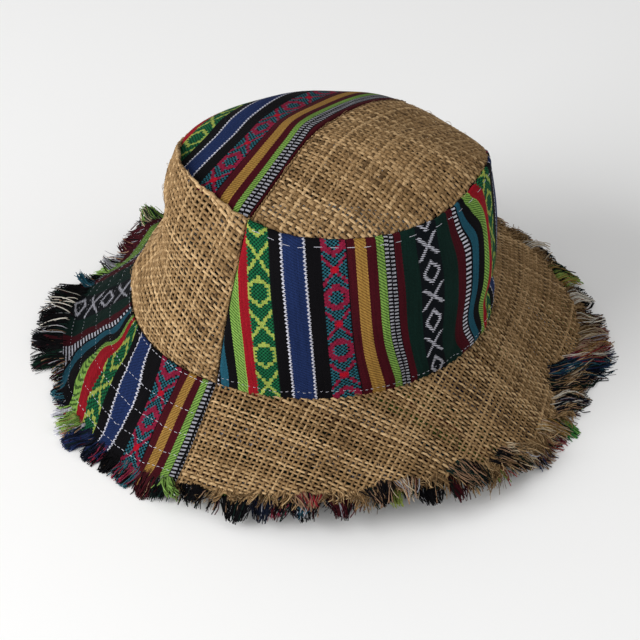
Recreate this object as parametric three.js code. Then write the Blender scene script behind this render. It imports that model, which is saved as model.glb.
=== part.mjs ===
// A patchwork sun hat of open-weave hemp and striped cotton, with a frayed double brim.
// Millimetres, +Z up. Shapes are worked out round the middle of the crown's base, and the finished hat is moved
// so that the origin is on the floor under the middle of its outline.
// Azimuths are in degrees, anticlockwise from +X seen from above. One seam line crosses the whole hat:
// on one side of it the top and brim are hemp and the side is cotton, and on the other they change places.
import * as THREE from 'three';

const degree = Math.PI / 180;

const outlineMiddle = { x: 4.2, y: 2.3 }; // from the middle of the crown's base

const crown = {
  baseHalfLength: 97,
  baseHalfWidth: 89,
  rimHalfLength: 82,
  rimHalfWidth: 75,
  rimShift: 10, // the slack crown leans this far towards +X
  baseHeight: 42,
  sideHeight: 87,
  domeRise: 18,
  domePower: 2.2,
  sideBulge: 2,
  foldEase: 1.6, // above 1, folds come closer to the seams
  hem: 4.6, // seam allowance of the side that hangs below the brim seam
};

const brim = {
  slant: 58, // from the crown seam to the raw edge, along the cloth
  fringe: 10,
  flare: 1.1, // above 1, the brim flattens towards its edge
  looseSlope: 0.5, // share of the brim's slope that the frayed ends keep
  restBlend: 1.5, // how softly the brim turns flat where it lies on the floor
};

const cloth = { hemp: 1.6, cotton: 1.2, gap: 0.3 };

const seam = { first: -120, second: 60, topHalfGap: 0.15 };

// Where the brim layers lie, measured straight down from the hat's outer surface.
const layer = {
  upper: { from: 0, to: 1.8 },
  under: { from: 2.2, to: 3.6 },
};

const grid = {
  sideColumns: 28,
  sideRows: 8,
  topColumns: 24,
  topRows: 6,
  brimColumns: 32, // on each half; the under layer has the same cells, so the layers lie evenly
  brimRows: 6,
};

const fringe = {
  head: 2.2, // the strip that joins the locks, beyond the raw edge
  locksEachHalf: 44,
  locksUnder: 66,
  lockShare: 0.84, // share of its pitch that a lock fills
  tipShare: 0.45,
  lean: 0.35,
  curl: 2.5,
  shortest: 0.72,
};

// Slack and folds, each a soft bump: where it is, how far it spreads, and how much it adds.
const rimRise = [
  { azimuth: -145, spread: 26, amount: 13 },
  { azimuth: 100, spread: 55, amount: -10 },
  { azimuth: 34, spread: 26, amount: -9 },
  { azimuth: -22, spread: 22, amount: 8 },
];
const rimOut = [
  { azimuth: 30, spread: 34, amount: -4 },
  { azimuth: 150, spread: 24, amount: -3 },
];
const rimLip = [{ azimuth: -152, spread: 24, amount: 4.5 }];
const topRidge = {
  line: new THREE.Line3(new THREE.Vector3(-3, -16, 0), new THREE.Vector3(52, -34, 0)), // in plan
  spread: 26,
  amount: 6,
};
const edgeRise = [
  { azimuth: -76, spread: 38, amount: 20 },
  { azimuth: 68, spread: 44, amount: 16 },
  { azimuth: 134, spread: 12, amount: 8 },
  { azimuth: -163, spread: 6, amount: 3 },
  { azimuth: -178, spread: 20, amount: -5 },
  { azimuth: -12, spread: 16, amount: -6 },
];
const slantChange = [
  { azimuth: -88, spread: 44, amount: -6 },
  { azimuth: 10, spread: 36, amount: 4 },
  { azimuth: 139, spread: 12, amount: -5 },
  { azimuth: 170, spread: 16, amount: 2 },
];
const fringeChange = [
  { azimuth: -15, spread: 28, amount: 6 },
  { azimuth: -178, spread: 30, amount: 3 },
];
const sideFolds = [
  { azimuth: -180, height: 0.46, spread: 26, reach: 0.24, depth: -9 },
  { azimuth: -176, height: 0.14, spread: 40, reach: 0.12, depth: 3 },
  { azimuth: -150, height: 0.62, spread: 18, reach: 0.2, depth: 2 },
  { azimuth: -24, height: 0.45, spread: 26, reach: 0.22, depth: 2 },
  { azimuth: -6, height: 0.2, spread: 16, reach: 0.09, depth: -4 },
  { azimuth: 100, height: 0.4, spread: 40, reach: 0.2, depth: 3 },
];

const turnBetween = (a, b) => ((((a - b + 180) % 360) + 360) % 360) - 180;
const bump = (distance, spread) => Math.exp(-((distance / spread) ** 2));
const sumAt = (rows, azimuth) =>
  rows.reduce((sum, row) => sum + row.amount * bump(turnBetween(azimuth, row.azimuth), row.spread), 0);
const mix = (a, b, share) => a + (b - a) * share;

// A repeatable number from 0 to 1 that looks uneven from one lock to the next.
function uneven(index, series) {
  const x = Math.sin(index * 12.9898 + series * 78.233) * 43758.5453;
  return x - Math.floor(x);
}

function ovalPoint(halfLength, halfWidth, azimuth) {
  return new THREE.Vector2(halfLength * Math.cos(azimuth * degree), halfWidth * Math.sin(azimuth * degree));
}

function outward(azimuth) {
  return ovalPoint(crown.baseHalfWidth, crown.baseHalfLength, azimuth).normalize();
}

// The rim in plan, this far inwards from the outside of the cloth.
function rimPlan(azimuth, inset) {
  const plan = ovalPoint(crown.rimHalfLength, crown.rimHalfWidth, azimuth);
  plan.x += crown.rimShift;
  return plan.addScaledVector(outward(azimuth), sumAt(rimOut, azimuth) - inset);
}

const rimHeight = (azimuth) => crown.baseHeight + crown.sideHeight + sumAt(rimRise, azimuth);

// How far the side is pushed out by slack and folds. The folds die away at both seams.
function foldDepth(azimuth, height) {
  const middling = Math.max(0, 4 * height * (1 - height));
  const free = Math.min(1, crown.foldEase * middling);
  const folds = sideFolds.reduce(
    (sum, row) =>
      sum +
      row.depth *
        bump(turnBetween(azimuth, row.azimuth), row.spread) *
        bump(height - row.height, row.reach),
    0,
  );
  return free * folds + crown.sideBulge * middling;
}

// The crown's side: height runs from 0 at the brim seam to 1 at the rim, and inset is inwards from the outside.
// Below 0 the wall hangs straight down.
function sidePoint(azimuth, height, inset) {
  const base = ovalPoint(crown.baseHalfLength, crown.baseHalfWidth, azimuth);
  const plan = base.lerp(rimPlan(azimuth, 0), Math.max(0, height));
  plan.addScaledVector(outward(azimuth), foldDepth(azimuth, height) - inset);
  return new THREE.Vector3(plan.x, plan.y, mix(crown.baseHeight, rimHeight(azimuth), height));
}

// The height of the domed top's outer surface over a point of the plan.
function topHeight(x, y) {
  const across = (x - crown.rimShift) / crown.rimHalfLength;
  const along = y / crown.rimHalfWidth;
  const azimuth = Math.atan2(along, across) / degree;
  const share = Math.min(1, Math.hypot(across, along));
  const peak = crown.baseHeight + crown.sideHeight + crown.domeRise;
  const edge = rimHeight(azimuth) - sumAt(rimLip, azimuth);
  const place = new THREE.Vector3(x, y, 0);
  const nearest = topRidge.line.closestPointToPoint(place, true, new THREE.Vector3());
  const ridge = topRidge.amount * bump(place.distanceTo(nearest), topRidge.spread) * (1 - share ** 4);
  return mix(peak, edge, share ** crown.domePower) + ridge;
}

// The lower limit of a height, reached softly and then kept exactly.
function restOn(floor, height) {
  const over = height - floor;
  if (over >= brim.restBlend) return height;
  if (over <= -brim.restBlend) return floor;
  return floor + (over + brim.restBlend) ** 2 / (4 * brim.restBlend);
}

// The brim: reach runs from 0 at the crown to 1 at the raw edge, and past 1 in the fringe.
function brimPoint(azimuth, reach, down, start = 0) {
  const edge = layer.under.to + sumAt(edgeRise, azimuth);
  const drop = crown.baseHeight - edge;
  const slant = brim.slant + sumAt(slantChange, azimuth);
  const run = Math.sqrt(slant ** 2 - drop ** 2);
  const fall = reach < 1 ? 1 - (1 - reach) ** brim.flare : 1 + brim.looseSlope * (reach - 1);
  const plan = ovalPoint(crown.baseHalfLength, crown.baseHalfWidth, azimuth);
  plan.addScaledVector(outward(azimuth), start + run * reach);
  const height = restOn(layer.under.to, crown.baseHeight - drop * fall);
  return new THREE.Vector3(plan.x, plan.y, height - down);
}

// A sheet with two faces, made from a grid of cells. pair(i, j) gives the corner's two points, and has(i, j) says
// whether a cell is there. Walls close the sheet wherever a cell has no neighbour.
function sheetGeometry({ columns, rows, closed = false, pair, has = () => true }) {
  const positions = [];
  const last = closed ? columns : columns + 1;
  for (let i = 0; i < last; i++) {
    for (let j = 0; j <= rows; j++) {
      for (const point of pair(i, j)) positions.push(point.x, point.y, point.z);
    }
  }
  const corner = (i, j, face) => 2 * ((i % last) * (rows + 1) + j) + face;
  const cell = (i, j) => {
    const column = closed ? (i + columns) % columns : i;
    return column >= 0 && column < columns && j >= 0 && j < rows && has(column, j);
  };
  const index = [];
  const quad = (a, b, c, d) => index.push(a, b, c, a, c, d);
  for (let i = 0; i < columns; i++) {
    for (let j = 0; j < rows; j++) {
      if (!cell(i, j)) continue;
      quad(corner(i, j, 0), corner(i, j + 1, 0), corner(i + 1, j + 1, 0), corner(i + 1, j, 0));
      quad(corner(i, j, 1), corner(i + 1, j, 1), corner(i + 1, j + 1, 1), corner(i, j + 1, 1));
      const wall = (ai, aj, bi, bj) =>
        quad(corner(ai, aj, 0), corner(bi, bj, 0), corner(bi, bj, 1), corner(ai, aj, 1));
      if (!cell(i, j - 1)) wall(i, j, i + 1, j);
      if (!cell(i, j + 1)) wall(i + 1, j + 1, i, j + 1);
      if (!cell(i - 1, j)) wall(i, j + 1, i, j);
      if (!cell(i + 1, j)) wall(i + 1, j, i + 1, j + 1);
    }
  }
  const geometry = new THREE.BufferGeometry();
  geometry.setAttribute('position', new THREE.Float32BufferAttribute(positions, 3));
  geometry.setIndex(facingOut(positions, index));
  geometry.computeVertexNormals();
  return geometry;
}

// Turns every triangle round if the closed surface encloses a negative volume.
function facingOut(positions, index) {
  const at = (k) => new THREE.Vector3().fromArray(positions, 3 * k);
  let volume = 0;
  for (let k = 0; k < index.length; k += 3) {
    volume += at(index[k]).dot(at(index[k + 1]).cross(at(index[k + 2])));
  }
  if (volume > 0) return index;
  const turned = [];
  for (let k = 0; k < index.length; k += 3) turned.push(index[k], index[k + 2], index[k + 1]);
  return turned;
}

// Azimuths across one half of the hat, stopping short of both seams by half the gap.
function halfAzimuth(start, share) {
  const inset = (cloth.gap / 2 / crown.baseHalfWidth) / degree;
  return mix(start + inset, start + 180 - inset, share);
}

function sidePanel(start, thickness) {
  const low = -crown.hem / crown.sideHeight;
  return sheetGeometry({
    columns: grid.sideColumns,
    rows: grid.sideRows,
    pair: (i, j) => {
      const azimuth = halfAzimuth(start, i / grid.sideColumns);
      const height = j === 0 ? low : (j - 1) / (grid.sideRows - 1);
      return [sidePoint(azimuth, height, 0), sidePoint(azimuth, height, thickness)];
    },
  });
}

// Half of the crown's top, from the straight seam to the rim, inside the side wall.
function topPanel(start, wall, thickness) {
  const inset = wall + cloth.gap;
  const from = rimPlan(start, inset);
  const to = rimPlan(start + 180, inset);
  const along = to.clone().sub(from).normalize();
  const across = new THREE.Vector2(along.y, -along.x);
  const endTrim = 0.015; // the corners at the ends of the seam are cut off this far
  return sheetGeometry({
    columns: grid.topColumns,
    rows: grid.topRows,
    pair: (i, j) => {
      const share = mix(endTrim, 1 - endTrim, i / grid.topColumns);
      const azimuth = start + 180 * share;
      const turned = (1 - Math.cos(Math.PI * share)) / 2; // spaced like the rim's points seen along the seam
      const plan = from.clone().lerp(to, turned);
      plan.addScaledVector(across, seam.topHalfGap);
      plan.lerp(rimPlan(azimuth, inset), j / grid.topRows);
      const height = topHeight(plan.x, plan.y);
      return [new THREE.Vector3(plan.x, plan.y, height), new THREE.Vector3(plan.x, plan.y, height - thickness)];
    },
  });
}

function brimPanel(start) {
  return sheetGeometry({
    columns: grid.brimColumns,
    rows: grid.brimRows,
    pair: (i, j) => {
      const azimuth = halfAzimuth(start, i / grid.brimColumns);
      const reach = j / grid.brimRows;
      return [
        brimPoint(azimuth, reach, layer.upper.from, cloth.gap * (1 - reach)),
        brimPoint(azimuth, reach, layer.upper.to, cloth.gap * (1 - reach)),
      ];
    },
  });
}

function underBrim() {
  return sheetGeometry({
    columns: 2 * grid.brimColumns,
    rows: grid.brimRows,
    closed: true,
    pair: (i, j) => {
      const azimuth = seam.first + (180 * i) / grid.brimColumns;
      const reach = j / grid.brimRows;
      return [
        brimPoint(azimuth, reach, layer.under.from, cloth.gap * (1 - reach)),
        brimPoint(azimuth, reach, layer.under.to, cloth.gap * (1 - reach)),
      ];
    },
  });
}

// A frayed edge: a narrow head along the cloth, and uneven locks of thread that are one piece with it.
function fringeStrip({ start, turn, locks, closed, depth, series, curled }) {
  const pitch = turn / locks;
  const headRows = 1;
  const reachOf = (length) => 1 + length / brim.slant;
  const lockPlace = (i, j) => {
    const lock = Math.floor(i / 2) % locks;
    const side = i % 2 === 0 ? -1 : 1;
    const isTip = j > headRows;
    const halfWidth = (pitch * fringe.lockShare) / 2;
    const middle = start + pitch * (lock + 0.5);
    const lean = isTip ? pitch * fringe.lean * (2 * uneven(lock, series) - 1) : 0;
    const length = (brim.fringe + sumAt(fringeChange, middle)) * mix(fringe.shortest, 1, uneven(lock, series + 1));
    const curl = isTip && curled ? fringe.curl * mix(0.5, 1, uneven(lock, series + 2)) : 0;
    const azimuth = middle + lean + side * halfWidth * (isTip ? fringe.tipShare : 1);
    return { azimuth, length: isTip ? length : j === 0 ? cloth.gap : fringe.head, curl };
  };
  return sheetGeometry({
    columns: closed ? 2 * locks : 2 * locks - 1,
    rows: headRows + 1,
    closed,
    has: (i, j) => j < headRows || i % 2 === 0,
    pair: (i, j) => {
      const { azimuth, length, curl } = lockPlace(i, j);
      return [
        brimPoint(azimuth, reachOf(length), depth.from - curl),
        brimPoint(azimuth, reachOf(length), depth.to - curl),
      ];
    },
  });
}

function frayedHalf(start, series) {
  const trim = 0.4; // keeps the two halves of the frayed edge apart at the seams
  return fringeStrip({
    start: start + trim,
    turn: 180 - 2 * trim,
    locks: fringe.locksEachHalf,
    closed: false,
    depth: layer.upper,
    series,
    curled: true,
  });
}

function frayedUnder() {
  return fringeStrip({
    start: 0,
    turn: 360,
    locks: fringe.locksUnder,
    closed: true,
    depth: layer.under,
    series: 11,
    curled: false,
  });
}

const hempCloth = new THREE.MeshStandardMaterial({ color: '#9c7c4f', roughness: 0.95, metalness: 0 });
const stripedCloth = new THREE.MeshStandardMaterial({ color: '#3b2530', roughness: 0.9, metalness: 0 });
const frayedCloth = new THREE.MeshStandardMaterial({ color: '#4a3a34', roughness: 0.95, metalness: 0 });

const hat = new THREE.Group();
hat.position.set(-outlineMiddle.x, -outlineMiddle.y, 0);
function add(name, geometry, material) {
  const mesh = new THREE.Mesh(geometry, material);
  mesh.name = name;
  hat.add(mesh);
}

add('crown_top_hemp', topPanel(seam.first, cloth.cotton, cloth.hemp), hempCloth);
add('crown_top_cotton', topPanel(seam.second, cloth.hemp, cloth.cotton), stripedCloth);
add('crown_side_cotton', sidePanel(seam.first, cloth.cotton), stripedCloth);
add('crown_side_hemp', sidePanel(seam.second, cloth.hemp), hempCloth);
add('brim_upper_hemp', brimPanel(seam.first), hempCloth);
add('brim_upper_cotton', brimPanel(seam.second), stripedCloth);
add('brim_under_cotton', underBrim(), stripedCloth);
add('fringe_hemp', frayedHalf(seam.first, 1), hempCloth);
add('fringe_cotton', frayedHalf(seam.second, 5), frayedCloth);
add('fringe_under', frayedUnder(), frayedCloth);

export default hat;
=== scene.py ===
import math
import bpy
import numpy as np
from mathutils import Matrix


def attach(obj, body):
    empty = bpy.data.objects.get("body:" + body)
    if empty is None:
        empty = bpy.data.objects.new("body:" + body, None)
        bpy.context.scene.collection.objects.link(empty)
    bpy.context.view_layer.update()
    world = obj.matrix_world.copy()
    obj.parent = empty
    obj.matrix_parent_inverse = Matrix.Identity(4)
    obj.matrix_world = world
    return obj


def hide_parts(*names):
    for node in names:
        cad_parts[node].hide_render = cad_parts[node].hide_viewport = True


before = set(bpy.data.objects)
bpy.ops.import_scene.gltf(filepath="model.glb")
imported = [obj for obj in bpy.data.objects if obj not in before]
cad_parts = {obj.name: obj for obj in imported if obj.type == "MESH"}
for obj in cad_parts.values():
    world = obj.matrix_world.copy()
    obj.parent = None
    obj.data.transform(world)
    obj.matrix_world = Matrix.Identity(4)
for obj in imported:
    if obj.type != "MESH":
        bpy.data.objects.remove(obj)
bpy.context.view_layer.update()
print("frame loaded")

# Shapes are worked out in millimetres round the middle of the crown's base, with azimuths in degrees,
# anticlockwise from +X seen from above. makeMesh turns finished points into the frame's metres.
outlineMiddle = (4.2, 2.3)
firstSeam = -120  # the one seam line that crosses the whole hat starts here and ends half a turn on
secondSeam = 60

# Rows of three numbers below are an azimuth, a spread and an amount.
crown = {
    "baseHalfLength": 97, "baseHalfWidth": 89,
    "rimHalfLength": 82, "rimHalfWidth": 75, "rimShift": 10,
    "baseHeight": 42, "sideHeight": 87, "domeRise": 18, "domePower": 2.2,
    "sideBulge": 2, "foldEase": 1.6, "rimRadius": 78,
    "rimRise": [(-145, 26, 13), (100, 55, -10), (34, 26, -9), (-22, 22, 8), (-174, 16, 5)],
    "rimOut": [(30, 34, -4), (150, 24, -3), (-174, 16, -3)],
    "rimLip": [(-152, 24, 4.5), (-174, 16, 5)],
    "ridgeFrom": (-3, -16), "ridgeTo": (52, -34), "ridgeSpread": 26, "ridgeRise": 6,
    "sideFolds": [  # azimuth, height share, spread, reach, depth
        (-180, 0.46, 26, 0.24, -9), (-176, 0.14, 40, 0.12, 3), (-150, 0.62, 18, 0.2, 2),
        (-24, 0.45, 26, 0.22, 2), (-6, 0.2, 16, 0.09, -4), (100, 0.4, 40, 0.2, 3),
    ],
    "wrinkle": 0.7, "wrinkleLength": 34, "wrinkleEase": 400,
    "rimPucker": 0.35, "rimPuckerLength": 9, "rimPuckerReach": 9,
    "basePucker": 0.8, "basePuckerLength": 15, "basePuckerReach": 12, "basePuckerEase": 5,
    "topSlack": 0.9, "topSlackLength": 38, "topDip": 1.3, "topDipReach": 4,
}
brim = {
    "slant": 58, "flare": 1.1, "looseSlope": 0.5, "restBlend": 1.5, "floorGap": 3.6, "innerGap": 0.3,
    "middleRadius": 130, "edgeRadius": 150, "waveRise": 30, "waveGrowth": 1.4,
    "edgeRise": [(-76, 38, 20), (68, 44, 16), (134, 12, 8), (-163, 6, 3), (-178, 20, -5), (-12, 16, -6)],
    "slantChange": [(-88, 44, -6), (10, 36, 4), (14, 24, 4), (139, 12, -5), (170, 16, 2)],
    "fringe": 10, "fringeChange": [(-15, 28, 6), (-178, 30, 3), (-164, 8, -7), (-84, 30, -2.5)],
    "hempWave": 0.8, "hempWaveLength": 46, "cottonWave": 2.2, "cottonWaveLength": 34,
    "rawEdge": 0.7, "rawEdgeLength": 7,
    "quiltRows": (0.32, 0.53, 0.74, 0.9), "quiltDip": 0.5, "quiltReach": 2.2,
    "quiltPucker": 0.4, "quiltPuckerLength": 9, "cottonReach": 92, "cottonFade": 14,
}
flat = {  # how each panel was cut from flat cloth
    "sideHeight": 88, "sideBaseRadius": 93, "sideRimRadius": 78.5,
    "brimShare": 0.86,  # how far round the flat brim goes for one turn of the head
    "brimInner": 108,
}
hem = {  # the turns at a seam, and how far each cloth goes on past it
    "rimRadius": 1.1, "seamRadius": 0.9, "tuck": 2.2,
    "cottonBase": 4.6, "cottonBaseTurn": 2, "cottonRim": 4.2, "cottonTop": 1.6, "cottonBrim": 1.6,
    "hempBase": 4.4, "hempRim": 4.5, "hempTop": 1.8, "hempBrim": 1.8, "hempInner": 0.9,
}


def turnBetween(a, b):
    return (a - b + 180.0) % 360.0 - 180.0


def bump(distance, spread):
    return np.exp(-((distance / spread) ** 2))


def hill(value, middle, spread):
    return bump(value - middle, spread)


def ease(value, start, end):
    share = np.clip((value - start) / (end - start), 0, 1)
    return share * share * (3 - 2 * share)


def sumAt(rows, azimuth):
    return sum(amount * bump(turnBetween(azimuth, at), spread) for at, spread, amount in rows)


def mix(a, b, share):
    return a + (b - a) * share


# Each row is an amount, and a shape with its two numbers along x and along y.
def bends(rows, x, y):
    return sum(amount * shapeX(x, *atX) * shapeY(y, *atY) for amount, (shapeX, *atX), (shapeY, *atY) in rows)


# Uneven waves through space, mostly within -1 to 1, the same each run.
def ripple(points, wavelength, series, waves=7):
    rng = np.random.default_rng(series)
    total = 0.0
    for _ in range(waves):
        direction = rng.normal(size=3)
        direction *= rng.uniform(0.6, 1.5) / np.linalg.norm(direction)
        total = total + np.sin(points @ direction * (2 * math.pi / wavelength) + rng.uniform(0, 2 * math.pi))
    return total / math.sqrt(waves)


# Cloth that turns round a small radius: how far it goes on and how far it drops, past the turn's start.
def foldOver(past, radius, turn):
    angle = np.clip(past / radius, 0, turn)
    rest = np.maximum(0, past - radius * turn)
    onward = radius * np.sin(angle) + rest * math.cos(turn)
    dropped = radius * (1 - np.cos(angle)) + rest * math.sin(turn)
    return onward, dropped


def ovalPlan(halfLength, halfWidth, azimuth):
    angle = np.radians(azimuth)
    return np.stack([halfLength * np.cos(angle), halfWidth * np.sin(angle)], -1)


def outward(azimuth):
    direction = ovalPlan(crown["baseHalfWidth"], crown["baseHalfLength"], azimuth)
    return direction / np.linalg.norm(direction, axis=-1, keepdims=True)


def onRing(azimuth, radius, rise):
    return np.concatenate([ovalPlan(radius, radius, azimuth), np.asarray(rise)[..., None]], -1)


def rimPlan(azimuth, inset=0.0):
    plan = ovalPlan(crown["rimHalfLength"], crown["rimHalfWidth"], azimuth)
    plan = plan + np.array([crown["rimShift"], 0.0])
    return plan + outward(azimuth) * (sumAt(crown["rimOut"], azimuth) - inset)[..., None]


def rimHeight(azimuth):
    return crown["baseHeight"] + crown["sideHeight"] + sumAt(crown["rimRise"], azimuth)


# The azimuth held within a panel's seams, and the length of cloth past the turn there.
def withinSeams(azimuth, start, radius):
    margin = hem["seamRadius"] / radius * 180 / math.pi
    inside = np.clip(azimuth, start + margin, start + 180 - margin)
    return inside, (azimuth - inside) * math.pi / 180 * radius


def foldDepth(azimuth, height):
    middling = np.maximum(0, 4 * height * (1 - height))
    free = np.minimum(1, crown["foldEase"] * middling)
    folds = sum(
        depth * bump(turnBetween(azimuth, at), spread) * bump(height - level, reach)
        for at, level, spread, reach, depth in crown["sideFolds"]
    )
    return free * folds + crown["sideBulge"] * middling


def sideRelief(azimuth, height):
    up = np.clip(height, 0, 1) * crown["sideHeight"]
    down = crown["sideHeight"] - up
    place = onRing(azimuth, crown["baseHalfLength"], up)
    steep = place * np.array([1, 1, 0.25])  # puckers are narrow and tall
    middling = np.minimum(1, up * down / crown["wrinkleEase"])
    slack = crown["wrinkle"] * ripple(place, crown["wrinkleLength"], 3) * middling
    atRim = ripple(steep, crown["rimPuckerLength"], 5) * bump(down, crown["rimPuckerReach"])
    clear = np.clip(up / crown["basePuckerEase"], 0, 1)  # the seam itself stays flat
    atBase = ripple(steep, crown["basePuckerLength"], 7) * bump(up, crown["basePuckerReach"]) * clear
    return slack + crown["rimPucker"] * atRim + crown["basePucker"] * atBase


# The outside of the crown's side. Height is 0 at the brim seam and 1 at the rim; past 1 the cloth rolls over
# the rim, and past a seam it is tucked in.
def sideSurface(azimuth, height, start):
    at, past = withinSeams(azimuth, start, crown["baseHalfWidth"])
    tuckOn, tuckIn = foldOver(np.abs(past), hem["seamRadius"], math.pi / 2)
    rollStart = 1 - hem["rimRadius"] / crown["sideHeight"]
    rollOn, rollIn = foldOver((height - rollStart) * crown["sideHeight"], hem["rimRadius"], math.pi)
    level = np.minimum(height, rollStart)
    share = np.maximum(level, 0)
    plan = mix(ovalPlan(crown["baseHalfLength"], crown["baseHalfWidth"], at), rimPlan(at), share[..., None])
    push = foldDepth(at, level) + sideRelief(at, level) - rollIn - tuckIn
    out = outward(at)
    along = np.stack([-out[..., 1], out[..., 0]], -1)
    plan = plan + out * push[..., None] + along * (np.sign(past) * tuckOn)[..., None]
    rise = mix(crown["baseHeight"], rimHeight(at), level) + rollOn
    return np.concatenate([plan, rise[..., None]], -1)


def topHeight(x, y):
    across = (x - crown["rimShift"]) / crown["rimHalfLength"]
    along = y / crown["rimHalfWidth"]
    azimuth = np.degrees(np.arctan2(along, across))
    share = np.minimum(1, np.hypot(across, along))
    peak = crown["baseHeight"] + crown["sideHeight"] + crown["domeRise"]
    edge = rimHeight(azimuth) - sumAt(crown["rimLip"], azimuth)
    start = np.array(crown["ridgeFrom"], float)
    line = np.array(crown["ridgeTo"], float) - start
    place = np.stack([x, y], -1)
    nearest = start + np.clip((place - start) @ line / (line @ line), 0, 1)[..., None] * line
    away = np.linalg.norm(place - nearest, axis=-1)
    ridge = crown["ridgeRise"] * bump(away, crown["ridgeSpread"]) * (1 - share**4)
    slack = ripple(np.stack([x, y, 0 * x], -1), crown["topSlackLength"], 9) * (1 - share**6)
    dip = bump((1 - share) * crown["rimHalfWidth"], crown["topDipReach"])
    dome = mix(peak, edge, share ** crown["domePower"])
    return dome + ridge + crown["topSlack"] * slack - crown["topDip"] * dip


# The seam across the top: its start, the directions along and across it, and its length.
def topSeamLine(start):
    ends = rimPlan(np.array([start, start + 180.0]))
    along = ends[1] - ends[0]
    length = np.linalg.norm(along)
    along = along / length
    return ends[0], along, np.array([along[1], -along[0]]), length


# The outside of the crown's top, by distance from the seam line and distance along it.
def topSurface(u, v, start):
    origin, along, across, _ = topSeamLine(start)
    past = hem["seamRadius"] - u
    tuckOn, tuckDown = foldOver(past, hem["seamRadius"], math.pi / 2)
    away = np.maximum(u, hem["seamRadius"]) - tuckOn
    plan = origin + along * v[..., None] + across * away[..., None]
    return np.concatenate([plan, (topHeight(plan[..., 0], plan[..., 1]) - tuckDown)[..., None]], -1)


def brimSlant(azimuth):
    return brim["slant"] + sumAt(brim["slantChange"], azimuth)


def rawEdge(azimuth):
    wander = ripple(onRing(azimuth, brim["edgeRadius"], 0 * azimuth), brim["rawEdgeLength"], 13)
    return brimSlant(azimuth) + brim["rawEdge"] * wander


def brimRelief(azimuth, reach):
    fromCotton = np.abs(turnBetween(azimuth, secondSeam + 90))
    cottonSide = np.clip((brim["cottonReach"] - fromCotton) / brim["cottonFade"], 0, 1)
    place = onRing(azimuth, brim["edgeRadius"], brim["waveRise"] * reach)
    grown = np.clip(reach, 0, 1.1) ** brim["waveGrowth"]
    onHemp = brim["hempWave"] * ripple(place, brim["hempWaveLength"], 15)
    onCotton = brim["cottonWave"] * ripple(place, brim["cottonWaveLength"], 17)
    away = np.min([np.abs(reach - row) for row in brim["quiltRows"]], axis=0) * brim["slant"]
    puckers = brim["quiltPucker"] * ripple(place * np.array([1, 1, 0.3]), brim["quiltPuckerLength"], 18)
    quilt = puckers - brim["quiltDip"] * bump(away, brim["quiltReach"])
    return grown * mix(onHemp, onCotton, cottonSide) + quilt * cottonSide * np.clip(reach * 6, 0, 1)


# Heights that would pass below the floor rest on it, with a soft bend where they meet it.
def restOn(floor, height):
    over = height - floor
    blend = brim["restBlend"]
    soft = floor + (over + blend) ** 2 / (4 * blend)
    return np.where(over >= blend, height, np.where(over <= -blend, floor, soft))


# The brim's upper face, and what lies above it by lift. Reach is 0 at the crown and 1 at the raw edge.
def brimSurface(azimuth, reach, lift=0.0):
    drop = crown["baseHeight"] - brim["floorGap"] - sumAt(brim["edgeRise"], azimuth)
    run = np.sqrt(brimSlant(azimuth) ** 2 - drop**2)
    left = np.maximum(1 - reach, 0)
    fall = np.where(reach < 1, 1 - left ** brim["flare"], 1 + brim["looseSlope"] * (reach - 1))
    plan = ovalPlan(crown["baseHalfLength"], crown["baseHalfWidth"], azimuth)
    plan = plan + outward(azimuth) * (brim["innerGap"] * left + run * reach)[..., None]
    height = restOn(brim["floorGap"], crown["baseHeight"] - drop * fall + brimRelief(azimuth, reach))
    return np.concatenate([plan, (height + lift)[..., None]], -1)


# From a place on the flat cloth of a brim half to its azimuth, its reach and its radius on the flat cloth.
def brimPlace(u, v, start):
    around = np.degrees(np.arctan2(u, v)) / flat["brimShare"]
    azimuth = firstSeam + around if start == firstSeam else firstSeam + 360 - around
    rho = np.hypot(u, v)
    return azimuth, (rho - flat["brimInner"]) / brimSlant(azimuth), rho


def brimFlat(azimuth, reach, start):
    turn = azimuth - firstSeam if start == firstSeam else firstSeam + 360 - azimuth
    angle = np.radians(turn * flat["brimShare"])
    rho = flat["brimInner"] + reach * brimSlant(azimuth)
    return rho * np.sin(angle), rho * np.cos(angle)


def brimPanelSurface(azimuth, reach, start):
    at, past = withinSeams(azimuth, start, brim["middleRadius"])
    tuckOn, tuckDown = foldOver(np.abs(past), hem["seamRadius"], math.pi / 2)
    points = brimSurface(at, reach, -tuckDown)
    out = outward(at)
    along = np.stack([-out[..., 1], out[..., 0], 0 * at], -1)
    return points + along * (np.sign(past) * tuckOn)[..., None]


# The side halves are parts of a cone, cut flat as a curved strip of this outer radius.
coneRadius = flat["sideHeight"] * flat["sideBaseRadius"] / (flat["sideBaseRadius"] - flat["sideRimRadius"])


def sidePlace(u, v, start):
    angle = np.arctan2(u, coneRadius - v)
    azimuth = start + 90 + np.degrees(angle) * coneRadius / flat["sideBaseRadius"]
    return azimuth, (coneRadius - np.hypot(u, coneRadius - v)) / flat["sideHeight"]


def sideFlat(azimuth, height, start):
    angle = np.radians(azimuth - start - 90) * flat["sideBaseRadius"] / coneRadius
    rho = coneRadius - height * flat["sideHeight"]
    return rho * np.sin(angle), coneRadius - rho * np.cos(angle)


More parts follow.
